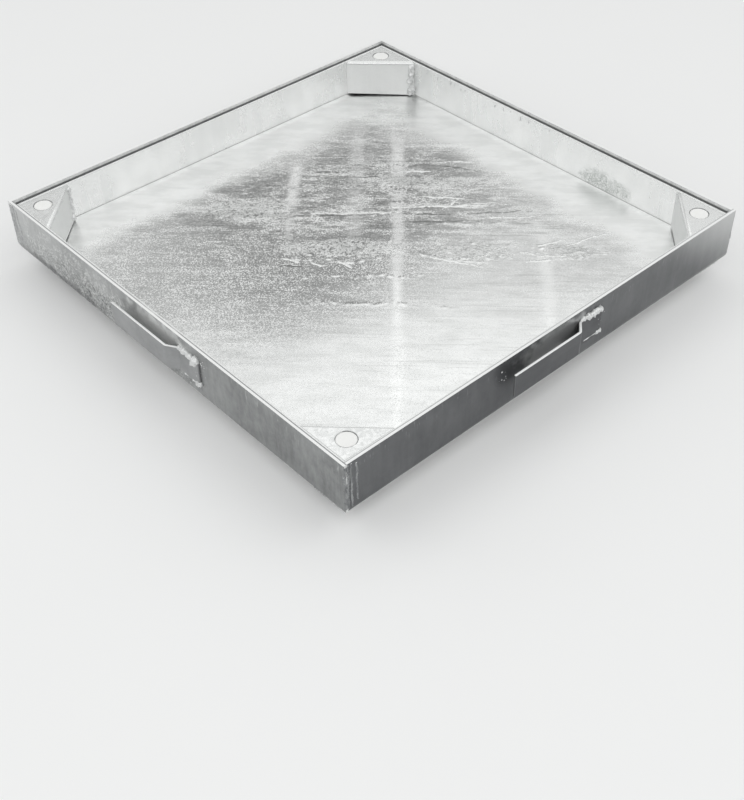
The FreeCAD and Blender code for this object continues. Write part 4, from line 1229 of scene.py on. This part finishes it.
for number, side in enumerate(SIDES):
    low, high = turn_back("lug_weld_" + side, number)
    lug_low, lug_high = turn_back("anchor_lug_" + side, number)
    face, wall, top, foot = low[1], -half, lug_high[2], lug_low[2]
    start_x, end_x = low[0] + 1 * MM, high[0]
    top_run = line((start_x, wall - 1.2 * MM, top + 0.7 * MM),
                   (end_x + 1 * MM, wall - 1.3 * MM, top - 0.4 * MM), 60)
    top_run[:, 2] += 0.6 * MM * lumps(top_run, 11 * MM, 60 + number)
    end_tack = line((end_x - 8 * MM, wall - 2.0 * MM, foot + 0.4 * MM),
                    (end_x + 2 * MM, wall - 1.6 * MM, foot + 0.6 * MM), 20)
    foot_run = line((end_x - 27 * MM, face + 0.7 * MM, foot + 0.5 * MM),
                    (end_x - 7 * MM, face + 0.7 * MM, foot + 0.5 * MM), 40)
    shapes = [bead(top_run, TOP_RADIUS, 50 + 3 * number, (0, -1, 0), ripple=2.0 * MM, swell=0.28, blob=0.5),
              bead(end_tack, TACK_RADIUS, 80 + number, (0, -1, 0), swell=0.25),
              bead(foot_run, FOOT_RADIUS, 90 + number, (0, -1, 0), swell=0.35)]
    spots, sizes = scatter((end_x - 6 * MM, wall, top - 26 * MM), (end_x + 9 * MM, wall, top + 5 * MM),
                           SPATTER_COUNT, 7 + number)
    spots[:, 1] = np.where(spots[:, 0] < end_x, face + 0.1 * MM, wall - 0.1 * MM)
    free_x = lug_low[0]
    free, free_sizes = scatter((free_x - 9 * MM, wall, top - 16 * MM), (free_x + 2 * MM, wall, top + 4 * MM),
                               FREE_SPATTER_COUNT, 27 + number)
    shapes += droplets(np.vstack([spots, free]), np.concatenate([sizes, free_sizes]), 5 + number)
    make_piece("weld_lug_" + side, turn_shapes(shapes, number), zinc_weld,
               replaces=["lug_weld_" + side])

# %% [markdown]
# ## The welds inside the tray
#
# Each folded pocket is welded to the tray's wall at one end of its web by a short upright run.
# It is the roughest weld in the tray: white with zinc that could not run off.

# %% Pocket welds
WEB_BEAD_RADII = (2.2 * MM, 2.2 * MM, 3.5 * MM, 1.9 * MM)

for number, (corner, radius) in enumerate(zip(CORNERS, WEB_BEAD_RADII)):
    low, high = turn_back("pocket_weld_" + corner, number)
    x, y = low[0] + 3.4 * MM, high[1] - 7.2 * MM
    run = line((x, y, high[2] + 1.5 * MM), (x, y, low[2] + 0.2 * MM), 70)
    run[:, :2] += 1.0 * MM * lumps(run, 8 * MM, 400 + number)[:, None] * np.array([1, -1])
    shape = bead(run, radius, 410 + 3 * number, (1, 1, 0), ripple=3.4 * MM, swell=0.26, blob=0.45, around=18)
    make_piece("weld_pocket_" + corner, turn_shapes([shape], number), zinc_weld,
               replaces=["pocket_weld_" + corner])

# %% [markdown]
# ## Nuts and their welds
#
# The frame stands on four long hexagon nuts. A nut could be a six-sided prism, but the real
# one has a chamfered end and a thread, and both show from below. Here it is one closed grid:
# the rows run down the outside, across the ring at the lower end and up the threaded bore.

# %% Build the nuts
NUT_FLAT = 9.0 * MM
NUT_RING = 8.55 * MM
NUT_CHAMFER = 1.2 * MM
CHAMFER_SLOPE = 1.6
BORE_CLEAR = 6.1 * MM
MOUTH_WIDER = 1.1 * MM
THREAD_PITCH, THREAD_DEPTH, THREAD_TOP = 1.75 * MM, 0.75 * MM, 9 * MM
screw_spots = [quarter_turn(np.array([-screw_at, -screw_at]), number) for number in range(4)]


def nut(centre, turn, around=96):
    """A long hexagon nut. The outside radius is the flat's distance over the cosine of the angle from
    that flat, held back by a cone at the lower end. The bore's radius is a triangle wave that moves
    one pitch along the bore for each turn."""
    angle = np.linspace(0, 2 * np.pi, around, endpoint=False)
    from_flat = (angle + np.pi / 6) % (np.pi / 3) - np.pi / 6
    outer_z = np.concatenate([[flange_z, flange_z - 1 * MM], np.linspace(2 * NUT_CHAMFER, 0, 9)])[:, None]
    outer = np.minimum(NUT_FLAT / np.cos(from_flat), NUT_RING + outer_z * CHAMFER_SLOPE)
    inner_z = np.concatenate([[0.0], np.linspace(0.25 * MM, THREAD_TOP, 44),
                              [THREAD_TOP + 0.2 * MM, flange_z]])[:, None]
    phase = (inner_z / THREAD_PITCH - angle / (2 * np.pi)) % 1
    inner = BORE_CLEAR - THREAD_DEPTH * (1 - np.abs(2 * phase - 1))
    inner = np.maximum(inner, BORE_CLEAR + MOUTH_WIDER - inner_z)
    inner[-2:] = BORE_CLEAR
    radius = np.vstack([outer, inner])
    height = np.vstack([outer_z, inner_z]) + 0 * radius
    rings = np.stack([centre[0] + radius * np.cos(angle + turn), centre[1] + radius * np.sin(angle + turn),
                      height], -1)
    return outward(rings.reshape(-1, 3), grid_faces(len(radius), around, around=True, over=True))


zinc_nut = zinc("zinc_nuts", pale=(0.85, 0.86, 0.86), dull=(0.45, 0.46, 0.465), rough=(0.2, 0.38),
                grain=(600.0, 0.25, 0.05), crystals=(350.0, 0.15, 0.02), streaks=(200.0, 0.1, 0.01),
                clouds=(60.0, 0.3))
shapes = [nut(spot, math.radians(45 + 90 * number)) for number, spot in enumerate(screw_spots)]
make_piece("threaded_nuts", shapes, zinc_nut, replaces=["clamp_nuts"], smooth_below=28)

# %% Build the nuts' welds
SPATTER_IN, SPATTER_OUT, SPATTER_EDGE = 13 * MM, 24 * MM, 6 * MM
NUT_BEAD, NUT_BEAD_REACH = 2.9 * MM, 5.5 * MM

nut_axis = np.array([-screw_at, -screw_at, 0])
shapes = []
for number in range(4):
    corner_shapes = []
    for turn in (45, 165, 285):
        heading = math.radians(180 + turn)
        outwards = np.array([math.cos(heading), math.sin(heading), 0])
        sideways = np.array([-outwards[1], outwards[0], 0])
        centre = nut_axis + (0, 0, flange_z - 1.5 * MM) + outwards * (NUT_FLAT + 1.6 * MM)
        run = line(centre - sideways * NUT_BEAD_REACH, centre + sideways * NUT_BEAD_REACH, 34)
        corner_shapes.append(bead(run, NUT_BEAD, 600 + 10 * number + turn, ripple=2.2 * MM, swell=0.25))
    spread = np.array([SPATTER_OUT, SPATTER_OUT, 0])
    spots, sizes = scatter(nut_axis - spread, nut_axis + spread, 22, 640 + number)
    spots[:, 2] = flange_z
    away = np.linalg.norm(spots[:, :2] + screw_at, axis=1)
    keep = (away > SPATTER_IN) & (spots[:, :2].min(1) > -half + SPATTER_EDGE)
    corner_shapes += droplets(spots[keep], sizes[keep], 650 + number, flat=0.9)
    shapes += turn_shapes(corner_shapes, number)
make_piece("weld_nuts", shapes, zinc_weld, replaces=["nut_welds"])

# %% [markdown]
# ## The plugs
#
# A white plastic plug closes the screw hole of each pocket. It is moulded, so every edge is
# round, and its top is slightly crowned and sits flush with the steel. The shape is a profile
# turned about the plug's own axis: the rows follow the profile and the columns go round.

# %% Turn the plugs
PLUG_RADIUS, PLUG_SNAP, PLUG_SKIRT = 10.7 * MM, 11.25 * MM, 9.0 * MM
PLUG_EDGE = 1.1 * MM
CROWN, SUNK = 0.12 * MM, 0.02 * MM
POCKET_SHEET = 3.1 * MM

plug_low, plug_top = (corner.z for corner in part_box("hole_plugs"))
pocket_under = plug_top - POCKET_SHEET


def turned_ring(profile, centre, around=64):
    """A closed profile of (radius, height) points carried once around an upright axis."""
    angle = np.linspace(0, 2 * np.pi, around, endpoint=False)
    return np.stack([centre[0] + profile[:, :1] * np.cos(angle), centre[1] + profile[:, :1] * np.sin(angle),
                     profile[:, 1:] + 0 * angle], -1)


# The crown, the rounded edge, the snap ring, the outside of the skirt, its inside and the roof
flat_part = PLUG_RADIUS - PLUG_EDGE
crown = np.linspace(0, 1, 9)[1:]
arc = np.linspace(0, np.pi / 2, 7)[1:]
edge_z = plug_top - (SUNK + CROWN) - PLUG_EDGE
profile = np.vstack([
    np.stack([crown * flat_part, plug_top - SUNK - CROWN * crown ** 2], -1),
    np.stack([flat_part + PLUG_EDGE * np.sin(arc), edge_z + PLUG_EDGE * np.cos(arc)], -1),
    [[PLUG_RADIUS, pocket_under], [PLUG_SNAP, pocket_under - 0.5 * MM], [PLUG_SNAP, pocket_under - 1.0 * MM],
     [PLUG_RADIUS - 0.2 * MM, pocket_under - 2.6 * MM], [PLUG_RADIUS - 0.6 * MM, plug_low + 0.5 * MM],
     [PLUG_RADIUS - 1.0 * MM, plug_low], [PLUG_SKIRT + 0.3 * MM, plug_low], [PLUG_SKIRT, plug_low + 0.4 * MM],
     [PLUG_SKIRT, plug_top - 2.6 * MM], [PLUG_SKIRT - 0.7 * MM, plug_top - 2.4 * MM],
     [0.4 * MM, plug_top - 2.4 * MM]]])
shapes = [closed_tube(turned_ring(profile, spot)) for spot in screw_spots]
make_piece("plugs", shapes, white_plastic, replaces=["hole_plugs"])

# %% [markdown]
# ## The zinc skin of the tray's floor
#
# The floor is a plain plate in the CAD model. On the real one the zinc froze while it ran off
# towards the tray's two far corners, so it lies in shallow streaks, a few curled ridges where
# dross was caught, and a fillet along the foot of each wall. A bump map alone would lose the
# ridges in the exported mesh, so the skin is a height over a grid.

# %% Heights of the zinc skin
SKIN_BASE, SKIN_LEAST = 0.2, 0.04  # mm
SKIN_UNDER = 0.4 * MM
FILLET_REACH = 1.9 * MM
PEEL_HEIGHT = 0.045 * MM
DIAGONAL_ROOT = math.sqrt(2)

# Ridges as (first place, last place, height, width), in mm along and across the diagonal
DROSS = [((-118, -16), (30, -26), 0.3, 2.2), ((-100, -30), (10, -33), 0.22, 1.8),
         ((60, -18), (150, -34), 0.26, 1.8), ((200, 6), (268, -12), 0.4, 2.4),
         ((222, -14), (282, -2), 0.34, 1.8), ((120, 14), (148, -30), 0.34, 1.8),
         ((-170, 120), (70, 132), 0.2, 1.8), ((-60, 176), (120, 186), 0.17, 1.8),
         ((20, 92), (190, 84), 0.2, 1.8), ((-130, 66), (60, 74), 0.2, 1.8),
         ((-110, -66), (80, -60), 0.15, 2.0), ((60, 44), (230, 60), 0.17, 1.8),
         ((-240, -20), (-150, -26), 0.15, 1.8), ((-60, -112), (110, -118), 0.13, 2.0),
         ((290, 150), (315, 160), 0.4, 3.5)]
UNDER_DROSS = [((-150, 30), (-20, 24), 0.3, 2.0), ((40, -60), (180, -48), 0.3, 2.0),
               ((-60, -140), (90, -150), 0.35, 2.4)]
# Areas with a skin like orange peel, as (middle, size) in mm
PEEL = [((-30, -6), (85, 20)), ((130, -10), (60, 26)), ((240, -8), (50, 22)), ((-190, 60), (60, 34)),
        ((60, 130), (90, 22))]


def ridge_height(along, across, ridges, seed):
    """The sum of ridges. Each follows a wobbling line between two places and has the cross-section
    of a bell curve; its ends fade out, and small lumps break it up."""
    total = np.zeros_like(along)
    broken = 0.3 + 0.75 * lumps(np.stack([along, across, 0 * along], -1), 7 * MM, seed)
    for number, (first, last, height, width) in enumerate(ridges):
        start, end = np.array(first) * MM, np.array(last) * MM
        reach = np.linalg.norm(end - start)
        heading = (end - start) / reach
        share = ((along - start[0]) * heading[0] + (across - start[1]) * heading[1]) / reach
        on_line = np.stack([share * reach, 0 * share, 0 * share], -1)
        wobble = 2.4 * MM * lumps(on_line, 26 * MM, seed + 1 + number)
        offset = (across - start[1]) * heading[0] - (along - start[0]) * heading[1] - wobble
        ends = np.clip(np.minimum(share, 1 - share) / 0.12, 0, 1)
        total += height * MM * np.exp(-(offset / (width * MM)) ** 2) * ends * np.clip(broken, 0, 1.4)
    return total


def skin_height(x, y, reach, ridges, fillet, seed):
    """A base coat, plus streaks that run along the diagonal, plus ridges, plus peel, plus a fillet
    that rises where a wall stands."""
    along, across = (x - y) / DIAGONAL_ROOT, (x + y) / DIAGONAL_ROOT
    drawn_out = np.stack([along * 0.09, across, 0 * x], -1)
    streaky = 0.004 * lumps(drawn_out, 9 * MM, seed) + 0.003 * lumps(drawn_out, 5.5 * MM, seed + 1)
    pooled = 0.025 * lumps(np.stack([along * 0.5, across, 0 * x], -1), 60 * MM, seed + 2)
    height = MM * np.clip(SKIN_BASE + streaky + pooled, SKIN_LEAST, None)
    height = height + ridge_height(along, across, ridges, seed + 3)
    fine = lumps(np.stack([along, across, 0 * x], -1), 5 * MM, seed + 9)
    for middle, size in PEEL:
        away = ((along / MM - middle[0]) / size[0]) ** 2 + ((across / MM - middle[1]) / size[1]) ** 2
        height += PEEL_HEIGHT * np.exp(-away ** 2) * fine
    to_wall = reach - np.maximum(np.abs(x), np.abs(y))
    return height + fillet * np.exp(-to_wall / FILLET_REACH)


def skin(name, reach, level, up, ridges, fillet, seed, count):
    """A closed skin over a square: a grid at the skin's height, a skirt down from its edge into
    the plate, and a fan that shuts it below. up is 1 for an upper skin and -1 for a lower one."""
    steps = np.linspace(-reach, reach, count)
    x, y = np.meshgrid(steps, steps, indexing="ij")
    height = skin_height(x, y, reach, ridges, fillet, seed)
    top = np.stack([x, y, level + up * height], -1).reshape(-1, 3)
    edge = np.concatenate([np.arange(count), np.arange(2 * count - 1, count * count, count),
                           np.arange(count * count - 2, count * (count - 1) - 1, -1),
                           np.arange(count * (count - 2), 0, -count)])
    under = top[edge].copy()
    under[:, 2] = level - up * SKIN_UNDER
    ring = np.arange(len(edge))
    after = (ring + 1) % len(edge)
    first, middle = len(top), len(top) + len(edge)
    skirt = np.stack([edge[ring], edge[after], first + after, first + ring], -1)
    fan = np.stack([np.full(len(edge), middle), first + ring, first + after], -1)
    points = np.vstack([top, under, [[0, 0, level - up * SKIN_UNDER]]])
    quads = np.vstack([grid_faces(count, count)[:, ::-1], skirt])
    a, b, c = points[quads[0, :3]]
    if (np.cross(b - a, c - a)[2] > 0) != (up > 0):
        quads, fan = quads[:, ::-1], fan[:, ::-1]
    return make_piece(name, [(points, quads, fan)], zinc_floor, smooth_below=80)


skin("zinc_skin_upper", tray_in + 0.3 * MM, floor_top, 1, DROSS, 1.7 * MM, seed=11, count=305)
skin("zinc_skin_lower", seal_in - 0.3 * MM, floor_low, -1, UNDER_DROSS, 0.0, seed=41, count=210)

# %% [markdown]
# ## Drips under the rim of the right wall
#
# The tray was hung from one side while it drained. Beads of zinc froze under the top edge of
# its right wall and ran a little way down. They are short tapering tubes half in the wall.

# %% Drips on the right wall
DRIPS = 26

draw = np.random.default_rng(77)
shapes = []
for number in range(DRIPS):
    y = draw.uniform(-40, 205) * MM
    length = (1.5 + 7 * draw.random() ** 2) * MM
    radius = (0.5 + 0.5 * draw.random()) * MM
    high_z = tray_z - (0.8 + 3.5 * draw.random()) * MM
    run = line((tray_in, y, high_z), (tray_in, y + draw.normal() * 0.8 * MM, high_z - length), 12)
    shapes.append(bead(run, radius, 700 + number, (1, 0, 0), ripple=3 * MM, swell=0.2, blob=0.35, around=8))
make_piece("wall_drips", shapes, zinc_weld)
